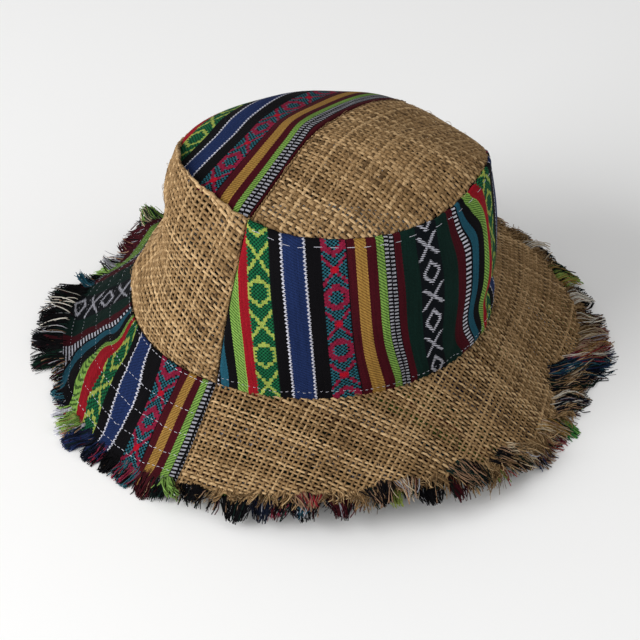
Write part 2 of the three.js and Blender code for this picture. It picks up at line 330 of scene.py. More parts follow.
# One joined mesh from arrays. Each block of faces is its corners and the uv of each corner.
def makeMesh(name, points, blocks, material, marks):
    mesh = bpy.data.meshes.new(name)
    placed = (points - np.array([*outlineMiddle, 0.0])) / 1000  # now in metres
    mesh.vertices.add(len(placed))
    mesh.vertices.foreach_set("co", placed.astype(np.float32).ravel())
    loops = np.concatenate([corners.ravel() for corners, _ in blocks])
    sizes = np.concatenate([np.full(len(corners), corners.shape[1]) for corners, _ in blocks])
    mesh.loops.add(len(loops))
    mesh.loops.foreach_set("vertex_index", loops.astype(np.int32))
    mesh.polygons.add(len(sizes))
    mesh.polygons.foreach_set("loop_start", np.concatenate([[0], np.cumsum(sizes)[:-1]]).astype(np.int32))
    mesh.polygons.foreach_set("use_smooth", np.full(len(sizes), True))
    places = np.concatenate([uv.reshape(-1, 2) for _, uv in blocks])
    mesh.uv_layers.new(name="cloth").data.foreach_set("uv", places.astype(np.float32).ravel())
    for title, values in marks.items():
        layer = mesh.attributes.new(title, "FLOAT", "POINT")
        layer.data.foreach_set("value", np.asarray(values, np.float32).ravel())
    mesh.update(calc_edges=True)
    mesh.validate()
    mesh.materials.append(material)
    piece = bpy.data.objects.new(name, mesh)
    bpy.context.scene.collection.objects.link(piece)
    print(f"{name}: {int(np.sum(sizes - 2))} triangles")
    return piece


# A closed sheet from a grid of points on its outer face. The inner face lies one thickness behind it. A ring
# joins its last column to its first, and the last argument darkens the cloth as painted shade.
def makeSheet(name, outer, uv, behind, material, ring=False, paintedShade=0.0):
    columns, rows = outer.shape[:2]
    inner = outer + behind
    points = np.concatenate([outer.reshape(-1, 3), inner.reshape(-1, 3)])
    back = columns * rows
    at = np.arange(back).reshape(columns, rows)
    if ring:
        at = np.concatenate([at, at[:1]])
    uvAt = uv.reshape(-1, 2)
    quads = np.stack([at[:-1, :-1], at[1:, :-1], at[1:, 1:], at[:-1, 1:]], -1).reshape(-1, 4)
    strips = [(at[:, 0], False), (at[:, -1], True)]
    if not ring:
        strips += [(at[0], True), (at[-1], False)]
    walls = []
    for strip, turned in strips:
        a, b = strip[:-1], strip[1:]
        wall = np.stack([b, a, a + back, b + back], -1)
        walls.append(wall[:, ::-1] if turned else wall)
    corners = np.concatenate([quads, quads[:, ::-1] + back, *walls])
    shades = np.broadcast_to(np.asarray(paintedShade, float), outer.shape[:2]).ravel()
    marks = {"paintedShade": np.concatenate([shades, shades])}
    return makeMesh(name, points, [(corners, uvAt[corners % back])], material, marks)


def unit(vectors):
    return vectors / np.maximum(np.linalg.norm(vectors, axis=-1, keepdims=True), 1e-9)


def sheetNormals(points):
    return unit(np.cross(np.gradient(points, axis=0), np.gradient(points, axis=1)))


# Round or flattened strands along rows of centre points. keep says which points of each row are used; every
# unbroken run of them becomes one closed tube.
def strandArrays(family, sides):
    centres, keep, lengths = family["centres"], family["keep"], family["lengths"]
    tangent = unit(np.gradient(centres, axis=1))
    width = unit(np.cross(family["normals"], tangent))
    lift = unit(np.cross(tangent, width))
    angle = np.arange(sides) * 2 * math.pi / sides
    ring = (
        centres[:, :, None]
        + width[:, :, None] * (family["halfWidth"][..., None] * np.cos(angle))[..., None]
        + lift[:, :, None] * (family["halfThick"][..., None] * np.sin(angle))[..., None]
    )
    joined = keep[:, :-1] & keep[:, 1:]
    used = np.zeros_like(keep)
    used[:, :-1] |= joined
    used[:, 1:] |= joined
    index = np.cumsum(used.ravel()).reshape(used.shape) - 1
    row, step = np.nonzero(joined)
    a = index[row, step][:, None] * sides
    b = index[row, step + 1][:, None] * sides
    here = np.arange(sides)
    following = (here + 1) % sides
    quads = np.stack([a + here, a + following, b + following, b + here], -1).reshape(-1, 4)
    u0 = np.broadcast_to(here / sides, (len(row), sides))
    u1 = u0 + 1 / sides
    v0 = np.broadcast_to(lengths[row, step][:, None], (len(row), sides))
    v1 = np.broadcast_to(lengths[row, step + 1][:, None], (len(row), sides))
    quadUv = np.stack([np.stack(corner, -1) for corner in ((u0, v0), (u1, v0), (u1, v1), (u0, v1))], 2)
    before = np.zeros_like(joined)
    before[:, 1:] = joined[:, :-1]
    after = np.zeros_like(joined)
    after[:, :-1] = joined[:, 1:]
    startRow, startStep = np.nonzero(joined & ~before)
    endRow, endStep = np.nonzero(joined & ~after)
    startCap = index[startRow, startStep][:, None] * sides + here[::-1]
    endCap = index[endRow, endStep + 1][:, None] * sides + here
    caps = np.concatenate([startCap, endCap])
    capLength = np.concatenate([lengths[startRow, startStep], lengths[endRow, endStep + 1]])
    capUv = np.stack(np.broadcast_arrays(here / sides, capLength[:, None]), -1)
    return ring[used].reshape(-1, 3), quads, quadUv.reshape(-1, 4, 2), caps, capUv, used


# Several families of strands become one mesh. Each family is a dictionary of rows: centre points, normals,
# half widths, half thicknesses, which points to keep, lengths and marks.
def makeStrands(name, families, sides, material):
    points, quads, quadUvs, caps, capUvs = [], [], [], [], []
    marks = {key: [] for key in families[0]["marks"]}
    offset = 0
    for family in families:
        ring, quad, quadUv, cap, capUv, used = strandArrays(family, sides)
        points.append(ring)
        quads.append(quad + offset)
        quadUvs.append(quadUv)
        caps.append(cap + offset)
        capUvs.append(capUv)
        for key, values in family["marks"].items():
            marks[key].append(np.repeat(np.broadcast_to(values, used.shape)[used], sides))
        offset += len(ring)
    blocks = []
    for corners, uvs in ((quads, quadUvs), (caps, capUvs)):
        blocks.append((np.concatenate(corners), np.concatenate(uvs)))
    joined = {key: np.concatenate(values) for key, values in marks.items()}
    return makeMesh(name, np.concatenate(points), blocks, material, joined)


# Node wiring. A Wire is one value in a node tree, and arithmetic on it adds nodes.
def plug(tree, value, socket):
    if isinstance(value, Wire):
        tree.links.new(value.socket, socket)
    else:
        socket.default_value = value


class Wire:
    def __init__(self, tree, socket):
        self.tree = tree
        self.socket = socket

    def math(self, kind, *others):
        node = self.tree.nodes.new("ShaderNodeMath")
        node.operation = kind
        for socket, value in zip(node.inputs, (self, *others)):
            plug(self.tree, value, socket)
        return Wire(self.tree, node.outputs[0])

    def __add__(self, other):
        return self.math("ADD", other)

    def __sub__(self, other):
        return self.math("SUBTRACT", other)

    def __mul__(self, other):
        return self.math("MULTIPLY", other)

    def __truediv__(self, other):
        return self.math("DIVIDE", other)

    def under(self, limit):
        return self.math("LESS_THAN", limit)

    def over(self, limit):
        return self.math("GREATER_THAN", limit)

    def within(self, low, high):
        return self.over(low) * self.under(high)

    def size(self):
        return self.math("ABSOLUTE")

    def part(self, length):
        return self.math("FLOORED_MODULO", length)

    def wave(self, length):
        return (self * (2 * math.pi / length)).math("SINE")


def addNode(tree, kind, settings=None, inputs=None):
    node = tree.nodes.new(kind)
    for key, value in (settings or {}).items():
        setattr(node, key, value)
    for key, value in (inputs or {}).items():
        plug(tree, value, node.inputs[key])
    return node


def tint(tree, share, below, above):
    node = tree.nodes.new("ShaderNodeMix")
    node.data_type = "RGBA"
    plug(tree, share, node.inputs[0])
    plug(tree, below, node.inputs[6])
    plug(tree, above, node.inputs[7])
    return Wire(tree, node.outputs[2])


def noise(tree, place, scale, detail=2.0):
    node = addNode(tree, "ShaderNodeTexNoise", None, {"Vector": place, "Scale": scale, "Detail": detail})
    return Wire(tree, node.outputs["Fac"])


def vector(tree, x, y, z=0.0):
    node = addNode(tree, "ShaderNodeCombineXYZ", None, {"X": x, "Y": y, "Z": z})
    return Wire(tree, node.outputs[0])


def split(tree, value):
    node = addNode(tree, "ShaderNodeSeparateXYZ", None, {0: value})
    return Wire(tree, node.outputs[0]), Wire(tree, node.outputs[1])


# A screen colour, from 0 to 255, as the linear colour that the shaders take.
def dye(*parts):
    shares = [part / 255 for part in parts]
    linear = [share / 12.92 if share < 0.0404 else ((share + 0.055) / 1.055) ** 2.4 for share in shares]
    return (*linear, 1.0)


dyes = {name: dye(*colour) for name, colour in {
    "teal": (26, 72, 88), "black": (7, 6, 9), "lime": (118, 154, 70), "limeDark": (34, 62, 26),
    "red": (130, 16, 28), "deepGreen": (8, 36, 25), "brightGreen": (18, 90, 54),
    "yellowGreen": (136, 150, 68), "blue": (25, 40, 79), "blueDark": (15, 25, 53),
    "white": (184, 184, 194), "crimson": (122, 23, 51), "redHeart": (156, 12, 32),
    "maroon": (60, 10, 19), "gold": (152, 117, 56), "goldDark": (98, 64, 30),
    "bottle": (9, 32, 27), "tealBright": (33, 88, 100), "navy": (11, 17, 34), "ink": (9, 13, 18),
    "hemp": (140, 108, 82), "ash": (146, 146, 153), "blush": (146, 98, 88), "cream": (178, 160, 132),
    "pale": (208, 202, 190), "leaf": (30, 116, 52),
}.items()}
stripes = [  # where each stripe starts across the cloth, and its dye; the order repeats
    (0, "teal"), (2.5, "black"), (7.2, "lime"), (12, "red"), (17.2, "deepGreen"), (28.2, "black"),
    (34.6, "blue"), (45.2, "black"), (64, "maroon"), (68, "gold"), (73.3, "maroon"), (77.8, "lime"),
    (81.6, "black"), (86.8, "maroon"), (90, "bottle"), (121.3, "maroon"), (126.5, "black"), (131.1, "teal"),
]
clothRepeat = 133.1
motifs = {  # what is woven into the stripes, by its middle across the cloth
    "stitch": 0.95,
    "diamond": {
        "middle": 22.7, "half": 5.5, "period": 34.3, "phase": 15.75, "wide": 4.9, "line": 0.8, "heart": 0,
        "ground": "brightGreen", "drawing": "yellowGreen",
    },
    "cross": {
        "middle": 58.3, "half": 5.7, "period": 30, "phase": 10.4, "wide": 4.4, "line": 1.3, "heart": 2.1,
        "ground": "tealBright", "drawing": "crimson",
    },
    "ringSlope": 0.72, "ringPoint": 0.55, "armSlope": 0.74, "armLine": 1.0,
    "letters": {
        "middle": 105.6, "half": 6.7, "period": 29, "phase": -12.45, "ragged": 0.6, "raggedLength": 1.3,
        "crossSlope": 0.92, "crossLine": 1.05, "crossHalf": 6.3,
        "ringWide": 1.1, "ringLong": 0.9, "ringSide": 1.35, "ringSize": 5.4, "ringLine": 1.1,
        "strokeLean": 0.55, "strokeLength": 1.2, "strokeGap": 0.4,
    },
    "checks": (  # middle, half width, columns, dye, period
        (84.2, 2.6, 2, "ash", 2.1), (128.8, 2.3, 1, "white", 2.5),
    ),
    "scallops": (34.6, 45.2), "scallopPeriod": 2.2, "scallopSway": 0.35, "scallopHalf": 0.48,
    "scallopRun": 0.85,
    "twill": 1.7,
    "ribs": ((7.2, 12, "limeDark", 0.85), (77.8, 81.6, "limeDark", 0.85), (68, 73.3, "goldDark", 0.75)),
    "steepTwill": 1.5, "steepRibs": (35.2, 44.6, "blueDark", 0.6),
}
clothLook = {
    "sway": 0.1, "swayLength": 1.9,
    "yarnWidth": 0.55, "yarnScale": 0.73, "yarnShare": 0.9, "wearScale": 0.06, "wearShare": 0.45,
    "speckScale": 1.1, "speckShare": 0.8, "warpLength": 0.9, "weftLength": 0.85,
    "drawingHeight": 0.9, "threadHeight": 0.25, "twillHeight": 0.12,
}


# The woven picture of a band: rings and crossed arms in turn, on a ground of dots, all in steps of one woven
# stitch. Along is nought at the middle of a ring.
def bandPicture(across, along, look):
    stitch = motifs["stitch"]
    stepAcross = (across / stitch).math("FLOOR")
    stepAlong = (along / stitch).math("FLOOR")
    p = (stepAcross + 0.5).size() * stitch
    q = (((stepAlong + 0.5) * stitch + look["period"] / 2).part(look["period"]) - look["period"] / 2).size()
    fromCross = (q - look["period"] / 2).size()
    ringTop = p * motifs["ringPoint"] + q * motifs["ringSlope"]
    ragged = (stepAlong.part(2.0) - 0.5) * 0.5
    ring = (p.math("MAXIMUM", ringTop) - look["wide"] + ragged).size().under(look["line"])
    arm = (p - fromCross * motifs["armSlope"] + ragged).size().under(motifs["armLine"])
    heart = (p + fromCross).under(look["heart"])
    dots = (stepAcross + stepAlong).part(2.0).under(0.5)
    return ring.math("MAXIMUM", arm), heart, dots


# A node group with its named sockets: the group, its inputs as wires, and its output node.
def newGroup(name, inputs, outputs):
    group = bpy.data.node_groups.new(name, "ShaderNodeTree")
    for way, sockets in (("INPUT", inputs), ("OUTPUT", outputs)):
        for title, kind in sockets.items():
            group.interface.new_socket(name=title, in_out=way, socket_type="NodeSocket" + kind)
    entry = group.nodes.new("NodeGroupInput")
    leave = group.nodes.new("NodeGroupOutput")
    return group, [Wire(group, entry.outputs[title]) for title in inputs], leave


# Dyes side by side with sharp borders, by where each one starts between 0 and 1.
def steppedDyes(tree, place, starts, names):
    ramp = tree.nodes.new("ShaderNodeValToRGB")
    ramp.color_ramp.interpolation = "CONSTANT"
    stops = ramp.color_ramp.elements
    while len(stops) < len(names):
        stops.new(0.5)
    for stop, start, name in zip(stops, starts, names):
        stop.position = start
        stop.color = dyes[name]
    plug(tree, place, ramp.inputs[0])
    return Wire(tree, ramp.outputs[0])


# The crossed and round letters in turn, drawn in slanting strokes with ragged edges.
def letterPicture(across, v, look):
    q = (v + look["phase"]).part(look["period"]) - look["period"] / 2
    ragged = (v + across * look["ragged"]).wave(look["raggedLength"]) * look["ragged"]
    crossAt = (q + look["period"] / 4).size()
    arms = (across.size() - crossAt * look["crossSlope"] + ragged).size().under(look["crossLine"])
    crossed = arms * crossAt.under(look["crossHalf"])
    ringAt = (q - look["period"] / 4).size()
    ends = across.size() * look["ringWide"] + ringAt * look["ringLong"]
    outline = ends.math("MAXIMUM", across.size() * look["ringSide"])
    ring = (outline - look["ringSize"] + ragged).size().under(look["ringLine"])
    strokes = (across * look["strokeLean"] + v).part(look["strokeLength"]).over(look["strokeGap"])
    return crossed.math("MAXIMUM", ring) * strokes


def buildStripedCloth():
    group, (placed, paintedShade), leave = newGroup(
        "stripedCloth", {"Place": "Vector", "PaintedShade": "Float"}, {"Color": "Color", "Height": "Float"}
    )
    whole, v = split(group, placed)
    habit = clothLook
    f = (whole + v.wave(habit["swayLength"]) * habit["sway"]).part(clothRepeat)
    starts = [start / clothRepeat for start, _ in stripes]
    colour = steppedDyes(group, f / clothRepeat, starts, [name for _, name in stripes])
    raised = 0.0

    for title in ("diamond", "cross"):
        look = motifs[title]
        across = f - look["middle"]
        inside = across.size().under(look["half"])
        line, heart, dots = bandPicture(across, v + look["phase"] - look["period"] / 2, look)
        colour = tint(group, inside * dots, colour, dyes[look["ground"]])
        colour = tint(group, inside * line, colour, dyes[look["drawing"]])
        if look["heart"]:
            colour = tint(group, inside * line * dots * 0.35, colour, dyes["maroon"])
            colour = tint(group, inside * heart, colour, dyes["redHeart"])
        raised = inside * line + raised

    look = motifs["letters"]
    letters = f - look["middle"]
    strip = letters.size().under(look["half"])
    colour = tint(group, strip, colour, dyes["ink"])
    letter = letterPicture(letters, v, look) * strip
    colour = tint(group, letter, colour, dyes["white"])
    raised = raised + letter

    for middle, half, columns, name, period in motifs["checks"]:
        inside = (f - middle).size().under(half - 0.1)
        column = (f - (middle - half)) / (half * 2 / columns)
        lean = column.math("FLOOR") * 0.35 + (f - middle) * 0.2
        bars = (v + lean).part(period).under(period * 0.46)
        check = inside * bars * column.part(1.0).within(0.12, 0.86)
        colour = tint(group, check, colour, dyes[name])
        raised = raised + check * 0.6

    for edge in motifs["scallops"]:
        swing = v.wave(motifs["scallopPeriod"])
        near = (f - edge + swing * motifs["scallopSway"]).size().under(motifs["scallopHalf"])
        scallop = near * (swing + motifs["scallopRun"]).over(0.0)
        colour = tint(group, scallop, colour, dyes["white"])
        raised = raised + scallop * 0.8

    # Slanting lines of twill in the plain bands.
    twill = (f + v).wave(motifs["twill"])
    ribs = twill.under(-0.25)
    for low, high, name, amount in motifs["ribs"]:
        colour = tint(group, f.within(low, high) * ribs * amount, colour, dyes[name])
    low, high, name, amount = motifs["steepRibs"]
    steepRibs = (f * 0.6 + v).wave(motifs["steepTwill"]).under(-0.35)
    colour = tint(group, f.within(low, high) * steepRibs * amount, colour, dyes[name])

    # Single yarns differ a little, and the whole cloth has faded unevenly.
    yarnAt = vector(group, (f / habit["yarnWidth"]).math("FLOOR"), v * 0.05)
    yarn = noise(group, yarnAt, habit["yarnScale"], 1.0) - 0.5
    wear = noise(group, vector(group, whole * habit["wearScale"], v * habit["wearScale"]), 1.0, 3.0) - 0.5
    speck = noise(group, vector(group, whole * habit["speckScale"], v * habit["speckScale"]), 1.0, 1.0) - 0.5
    light = yarn * habit["yarnShare"] + wear * habit["wearShare"] + speck * habit["speckShare"] + 1.0
    # The darkening input dims this lightness as painted shade, for cloth that lies in shadow.
    shade = addNode(group, "ShaderNodeHueSaturation", None, {"Value": light - light * paintedShade, "Color": colour})
    plug(group, Wire(group, shade.outputs[0]), leave.inputs["Color"])
    threads = f.wave(habit["warpLength"]) * v.wave(habit["weftLength"])
    fine = threads * habit["threadHeight"] + twill * habit["twillHeight"]
    plug(group, raised * habit["drawingHeight"] + fine, leave.inputs["Height"])
    return group


# Spun yarn, from how far round and along it a place is: a streak for the colour, and a height.
def buildFibres():
    group, (around, along, twist, tone), leave = newGroup(
        "spunFibres", {"Round": "Float", "Along": "Float", "Twist": "Float", "Tone": "Float"},
        {"Streak": "Float", "Height": "Float"},
    )
    turned = around + along / twist
    ply = (turned * (2 * math.pi)).math("SINE")
    fibre = noise(group, vector(group, turned * 9.0, along * 0.35, tone * 50.0), 1.0, 3.0)
    plug(group, ply * 0.16 + fibre, leave.inputs["Streak"])
    plug(group, ply * 0.5 + fibre * 0.8, leave.inputs["Height"])
    return group


stripedCloth = buildStripedCloth()
spunFibres = buildFibres()


def newMaterial(name, roughness, shine):
    material = bpy.data.materials.new(name)
    material.use_nodes = True
    tree = material.node_tree
    shader = tree.nodes["Principled BSDF"]
    shader.inputs["Roughness"].default_value = roughness
    shader.inputs["Specular IOR Level"].default_value = shine
    place = Wire(tree, addNode(tree, "ShaderNodeUVMap", {"uv_map": "cloth"}).outputs[0])
    return material, tree, shader, place


def useGroup(tree, group, inputs):
    node = tree.nodes.new("ShaderNodeGroup")
    node.node_tree = group
    for key, value in inputs.items():
        plug(tree, value, node.inputs[key])
    return [Wire(tree, socket) for socket in node.outputs]


def relief(tree, shader, height, strength, distance):
    inputs = {"Strength": strength, "Distance": distance, "Height": height}
    node = addNode(tree, "ShaderNodeBump", None, inputs)
    tree.links.new(node.outputs[0], shader.inputs["Normal"])


def mark(tree, name):
    node = addNode(tree, "ShaderNodeAttribute", {"attribute_name": name})
    return Wire(tree, node.outputs["Fac"])


def stripedMaterial():
    material, tree, shader, place = newMaterial("stripedCotton", roughness=0.9, shine=0.08)
    # The sheet's darkening mark is painted shade, passed to the cloth group.
    colour, height = useGroup(tree, stripedCloth, {"Place": place, "PaintedShade": mark(tree, "paintedShade")})
    plug(tree, colour, shader.inputs["Base Color"])
    relief(tree, shader, height, strength=0.5, distance=0.0004)
    return material


hempLook = {
    "shades": ((0.1, (72, 53, 32)), (0.5, (136, 107, 71)), (0.95, (198, 167, 124))),
    "toneShare": 0.75, "streakShare": 0.5, "darker": 0.12, "twist": 3.2,
}


def hempMaterial():
    look = hempLook
    material, tree, shader, place = newMaterial("hempYarn", roughness=0.85, shine=0.15)
    around, along = split(tree, place)
    # The tone mark holds each yarn's own lightness and, on the weave, painted shade where it dips under
    # other yarns.
    tone = mark(tree, "tone")
    inputs = {"Round": around, "Along": along, "Twist": look["twist"], "Tone": tone}
    streak, height = useGroup(tree, spunFibres, inputs)
    ramp = tree.nodes.new("ShaderNodeValToRGB")
    ramp.color_ramp.elements.new(0.5)
    for stop, (start, colour) in zip(ramp.color_ramp.elements, look["shades"]):
        stop.position = start
        stop.color = dye(*colour)
    plug(tree, tone * look["toneShare"] + streak * look["streakShare"] - look["darker"], ramp.inputs[0])
    tree.links.new(ramp.outputs[0], shader.inputs["Base Color"])
    relief(tree, shader, height, strength=0.6, distance=0.00025)
    return material


threadDyes = (
    "teal", "black", "lime", "red", "deepGreen", "brightGreen", "yellowGreen", "blue", "maroon", "gold",
    "bottle", "tealBright", "crimson", "white", "navy", "hemp", "ash", "blush", "cream", "pale", "leaf",
)
threadLook = {"twist": 1.6, "toneShare": 0.6, "streakShare": 0.5, "lighter": 0.5, "fading": 0.95}


# Threads are dyed one by one: their mark says which dye.
def threadMaterial():
    look = threadLook
    material, tree, shader, place = newMaterial("frayedCotton", roughness=0.88, shine=0.1)
    around, along = split(tree, place)
    starts = [index / len(threadDyes) for index in range(len(threadDyes))]
    colour = steppedDyes(tree, mark(tree, "dye"), starts, threadDyes)
    tone = mark(tree, "tone")
    inputs = {"Round": around, "Along": along, "Twist": look["twist"], "Tone": tone}
    streak, height = useGroup(tree, spunFibres, inputs)
    light = tone * look["toneShare"] + streak * look["streakShare"] + look["lighter"]
    inputs = {"Saturation": look["fading"], "Value": light, "Color": colour}
    shade = addNode(tree, "ShaderNodeHueSaturation", None, inputs)
    tree.links.new(shade.outputs[0], shader.inputs["Base Color"])
    relief(tree, shader, height, strength=0.5, distance=0.00015)
    return material


cottonMaterial = stripedMaterial()
hempYarn = hempMaterial()
cottonThread = threadMaterial()
print("materials made")

# How dark each sheet is made is painted shade for cloth lying in shadow, not the dye's own colour.
cottonSheets = {  # how fine each sheet is, how far down the under layer lies, and how dark each one is
    "thick": 0.8, "sideColumns": 190, "sideRows": 62, "topColumns": 96, "topRows": 66, "topEnds": 0.012,
    "brimColumns": 280, "brimRows": 46, "brimPaintedShade": 0.1, "leftPaintedShade": 0.42, "leftShadeFrom": (214, 186),
    "underColumns": 260, "underRows": 28, "underDown": 2.3, "underTurn": 5, "underPaintedShade": 0.35,
}
sideBends = (  # how far the stripes stray, and where: across the panel, and up it
    (-7, (ease, -95, -50), (hill, 0, 26)), (6, (hill, -24, 15), (hill, 14, 17)),
    (3.5, (ease, -60, -15), (ease, 50, 85)), (6, (hill, -8, 13), (ease, 58, 88)),
    (2.5, (hill, 0, 14), (hill, 20, 12)), (-3.2, (hill, 4, 20), (hill, 66, 13)),
    (3, (hill, -5, 18), (ease, 80, 88)), (-2.5, (hill, 0, 18), (hill, 0, 6)),
)
clothAt = {"side": 140.1, "top": 86.2, "brim": 86.8, "brimAlong": -11.4, "under": 80}  # at a panel's start


# Where a place on each panel lies on the striped cloth: across the stripes, and along them. The cloth was
# not laid quite square, so the stripes bend a little.
def sideStripes(u, v):
    return np.stack([u + clothAt["side"] + bends(sideBends, u, v), v], -1)


topLay = {"takenIn": 2, "takenInFrom": (105, 85), "widened": 2.4, "widenedAt": (5, 6)}


def topStripes(u, v):
    away = u - topLay["takenIn"] * ease(v, *topLay["takenInFrom"])
    wider = topLay["widened"] * hill(away, *topLay["widenedAt"])
    return np.stack([clothAt["top"] - away + wider, v], -1)


# How far across the cloth the stripes lie, each ten degrees back from the seam, along the brim half's inner
# edge, its middle and its raw edge.
brimCourse = (
    (2, 19, 31, 43, 59, 88, 112, 122, 125.5, 123, 116, 109, 105),
    (2, 20, 39, 54, 71, 81.5, 98, 114, 127.5, 136.5, 134, 131, 130),
    (2, 22, 43, 68, 81, 89.5, 93.5, 105, 120, 138, 143.5, 145.5, 146),
)
courseStep = 10


def alongCourse(row, place):
    row = np.array(row, float)
    at = np.clip(np.floor(place).astype(int), 0, len(row) - 2)
    share = place - at
    before, here, there, beyond = (row[np.clip(at + k, 0, len(row) - 1)] for k in (-1, 0, 1, 2))
    curve = 2 * before - 5 * here + 4 * there - beyond + share * (3 * (here - there) + beyond - before)
    return here + share / 2 * (there - before + share * curve)


# The brim's striped half is gathered at its far left, where a pleat takes some cloth in.
brimLay = {
    "pleat": ((8, (hill, 195, 8), (hill, 0.22, 0.13)),),  # by azimuth and reach
    "outerPleat": ((-2, (hill, 195, 14), (hill, 0.74, 0.17)),),
    "widerBlack": ((1.8, (hill, 78.8, 2.2), (hill, 196, 12)),),  # by the place on the cloth and the azimuth
    "widerRed": ((-2.6, (hill, 75.4, 3.2), (hill, 199, 12)),), "redReach": (0.45, 0.35),
    "measuredFrom": (116, 122), "roundFrom": (218, 188), "roundUntil": (168, 142),
    "sway": 0.5, "swayLength": 26, "swayFrom": (12, 40),
}


def brimStripes(azimuth, reach):
    look = brimLay
    u, v = brimFlat(azimuth, reach, secondSeam)
    place = np.clip((secondSeam + 180 - azimuth) / courseStep, -1, len(brimCourse[0]) - 1)
    inner, middle, raw = (alongCourse(row, place) for row in brimCourse)
    out = np.clip(reach, 0, 1)
    laid = inner * (1 - out) * (1 - 2 * out) + middle * 4 * out * (1 - out) + raw * out * (2 * out - 1)
    laid = laid + bends(look["pleat"], azimuth, reach)
    widerBlack = bends(look["widerBlack"], laid, azimuth)
    widerRed = bends(look["widerRed"], laid, azimuth) * hill(reach, *look["redReach"])
    laid = laid + widerBlack + widerRed + bends(look["outerPleat"], azimuth, reach)
    across = mix(u, laid, ease(azimuth, *look["measuredFrom"]))
    onBrim = onRing(azimuth, brim["edgeRadius"], brim["waveRise"] * reach)
    sway = look["sway"] * ripple(onBrim, look["swayLength"], 19) * ease(across, *look["swayFrom"])
    along = mix(v, np.hypot(u, v), ease(azimuth, *look["roundFrom"]))
    along = mix(along, v + flat["brimInner"], ease(azimuth, *look["roundUntil"]))
    return np.stack([clothAt["brim"] - across - sway, along + clothAt["brimAlong"]], -1)


def makeSideCotton():
    look = cottonSheets
    tuck = math.degrees(hem["tuck"] / crown["baseHalfWidth"])
    azimuth = np.linspace(firstSeam - tuck, secondSeam + tuck, look["sideColumns"])
    tall = crown["sideHeight"]
    height = np.linspace(0, 1 + hem["cottonRim"] / tall, look["sideRows"])
    height = np.concatenate([[-hem["cottonBase"] / tall, -hem["cottonBaseTurn"] / tall], height])
    azimuth, height = np.meshgrid(azimuth, height, indexing="ij")
    outer = sideSurface(azimuth, height, firstSeam)
    uv = sideStripes(*sideFlat(azimuth, height, firstSeam))
    return makeSheet("crownSideCotton", outer, uv, -look["thick"] * sheetNormals(outer), cottonMaterial)


def makeTopCotton():
    look = cottonSheets
    start = secondSeam
    origin, along, across, _ = topSeamLine(start)
    share = np.linspace(look["topEnds"], 1 - look["topEnds"], look["topColumns"])
    rim = rimPlan(start + 180 * share, 1.0)
    v = (rim - origin) @ along
    reach = (rim - origin) @ across
    rows = np.concatenate([[-hem["cottonTop"]], np.linspace(0, 1, look["topRows"])])
    u = np.where(rows[None] < 0, rows[None], rows[None] * reach[:, None])
    v = np.broadcast_to(v[:, None], u.shape)
    outer = topSurface(u, v, start)
    behind = look["thick"] * sheetNormals(outer)
    return makeSheet("crownTopCotton", outer[::-1], topStripes(u, v)[::-1], behind[::-1], cottonMaterial)


def straightDown(points, distance):
    return np.zeros_like(points) - np.array([0, 0, distance])


def makeBrimCotton():
    look = cottonSheets
    tuck = math.degrees(hem["cottonBrim"] / brim["middleRadius"])
    azimuth = np.linspace(secondSeam - tuck, secondSeam + 180 + tuck, look["brimColumns"])
    azimuth, share = np.meshgrid(azimuth, np.linspace(0, 1, look["brimRows"]), indexing="ij")
    reach = share * rawEdge(azimuth) / brimSlant(azimuth)
    outer = brimPanelSurface(azimuth, reach, secondSeam)[::-1]
    uv = brimStripes(azimuth, reach)[::-1]
    # The upper brim is painted a little darker all over and much darker towards its far left: painted shade.
    paintedShade = mix(look["brimPaintedShade"], look["leftPaintedShade"], ease(azimuth, *look["leftShadeFrom"]))[::-1]
    behind = straightDown(outer, look["thick"])
    return makeSheet("brimUpperCotton", outer, uv, behind, cottonMaterial, paintedShade=paintedShade)


underAcross = math.radians(70)  # which way the under layer's stripes follow each other
underAlong = math.radians(-20)


# The under layer is one ring cut with its stripes straight across the hat.
def underPattern(points):
    x = points[..., 0]
    y = points[..., 1]
    f = clothAt["under"] + x * math.cos(underAcross) + y * math.sin(underAcross)
    return np.stack([f, x * math.cos(underAlong) + y * math.sin(underAlong)], -1)


def makeUnderCotton():
    look = cottonSheets
    azimuth = np.linspace(0, 360, look["underColumns"] + 1)[:-1]
    azimuth, share = np.meshgrid(azimuth, np.linspace(0, 1, look["underRows"]), indexing="ij")
    reach = share * rawEdge(azimuth + look["underTurn"]) / brimSlant(azimuth)
    outer = brimSurface(azimuth, reach, -look["underDown"])[::-1]
    behind = straightDown(outer, look["thick"])
    uv = underPattern(outer)
    # The under layer is painted darker: painted shade for cloth lying beneath the brim's upper layers.
    return makeSheet("brimUnderCotton", outer, uv, behind, cottonMaterial, ring=True, paintedShade=look["underPaintedShade"])


weaveLook = {
    "sides": 5, "halfWidth": 0.8, "halfThick": 0.42, "swing": 0.33, "depth": 0.8, "steps": 2,
    "wander": 0.3, "wanderLengths": (61, 23, 9), "offLine": 0.12,
    "girths": (0.8, 1.12), "slub": 0.24, "slubLengths": (37, 13, 5.3), "slubShare": 0.1, "slubGirth": 1.3,
    "rowGirth": 0.45, "columnGirth": 0.35, "rowTone": 0.6, "columnTone": 0.4,
    # The last number on the next line is painted shade and light: yarns darker where they dip, lighter where
    # they ride over.
    "toneSpread": 0.19, "toneDrift": 0.16, "toneLengths": (90, 31, 11), "paintedDipShade": 0.2,
    "side": (2.55, 3.05, 0.97),  # the gaps of rows and columns, and the girth
    "top": (2.05, 2.55, 1.24),
    "brim": (2.2, 2.8, 0.96),
    "sideFullness": 1.07, "backFullness": 1.45,
    "hairs": 420, "hairLength": (4, 10), "hairRise": 1.6, "hairTilt": (-0.4, 0.6), "hairTurn": 0.9,
    "hairDepth": 0.3, "hairRadius": 0.1,
}
fullTurn = 6.283


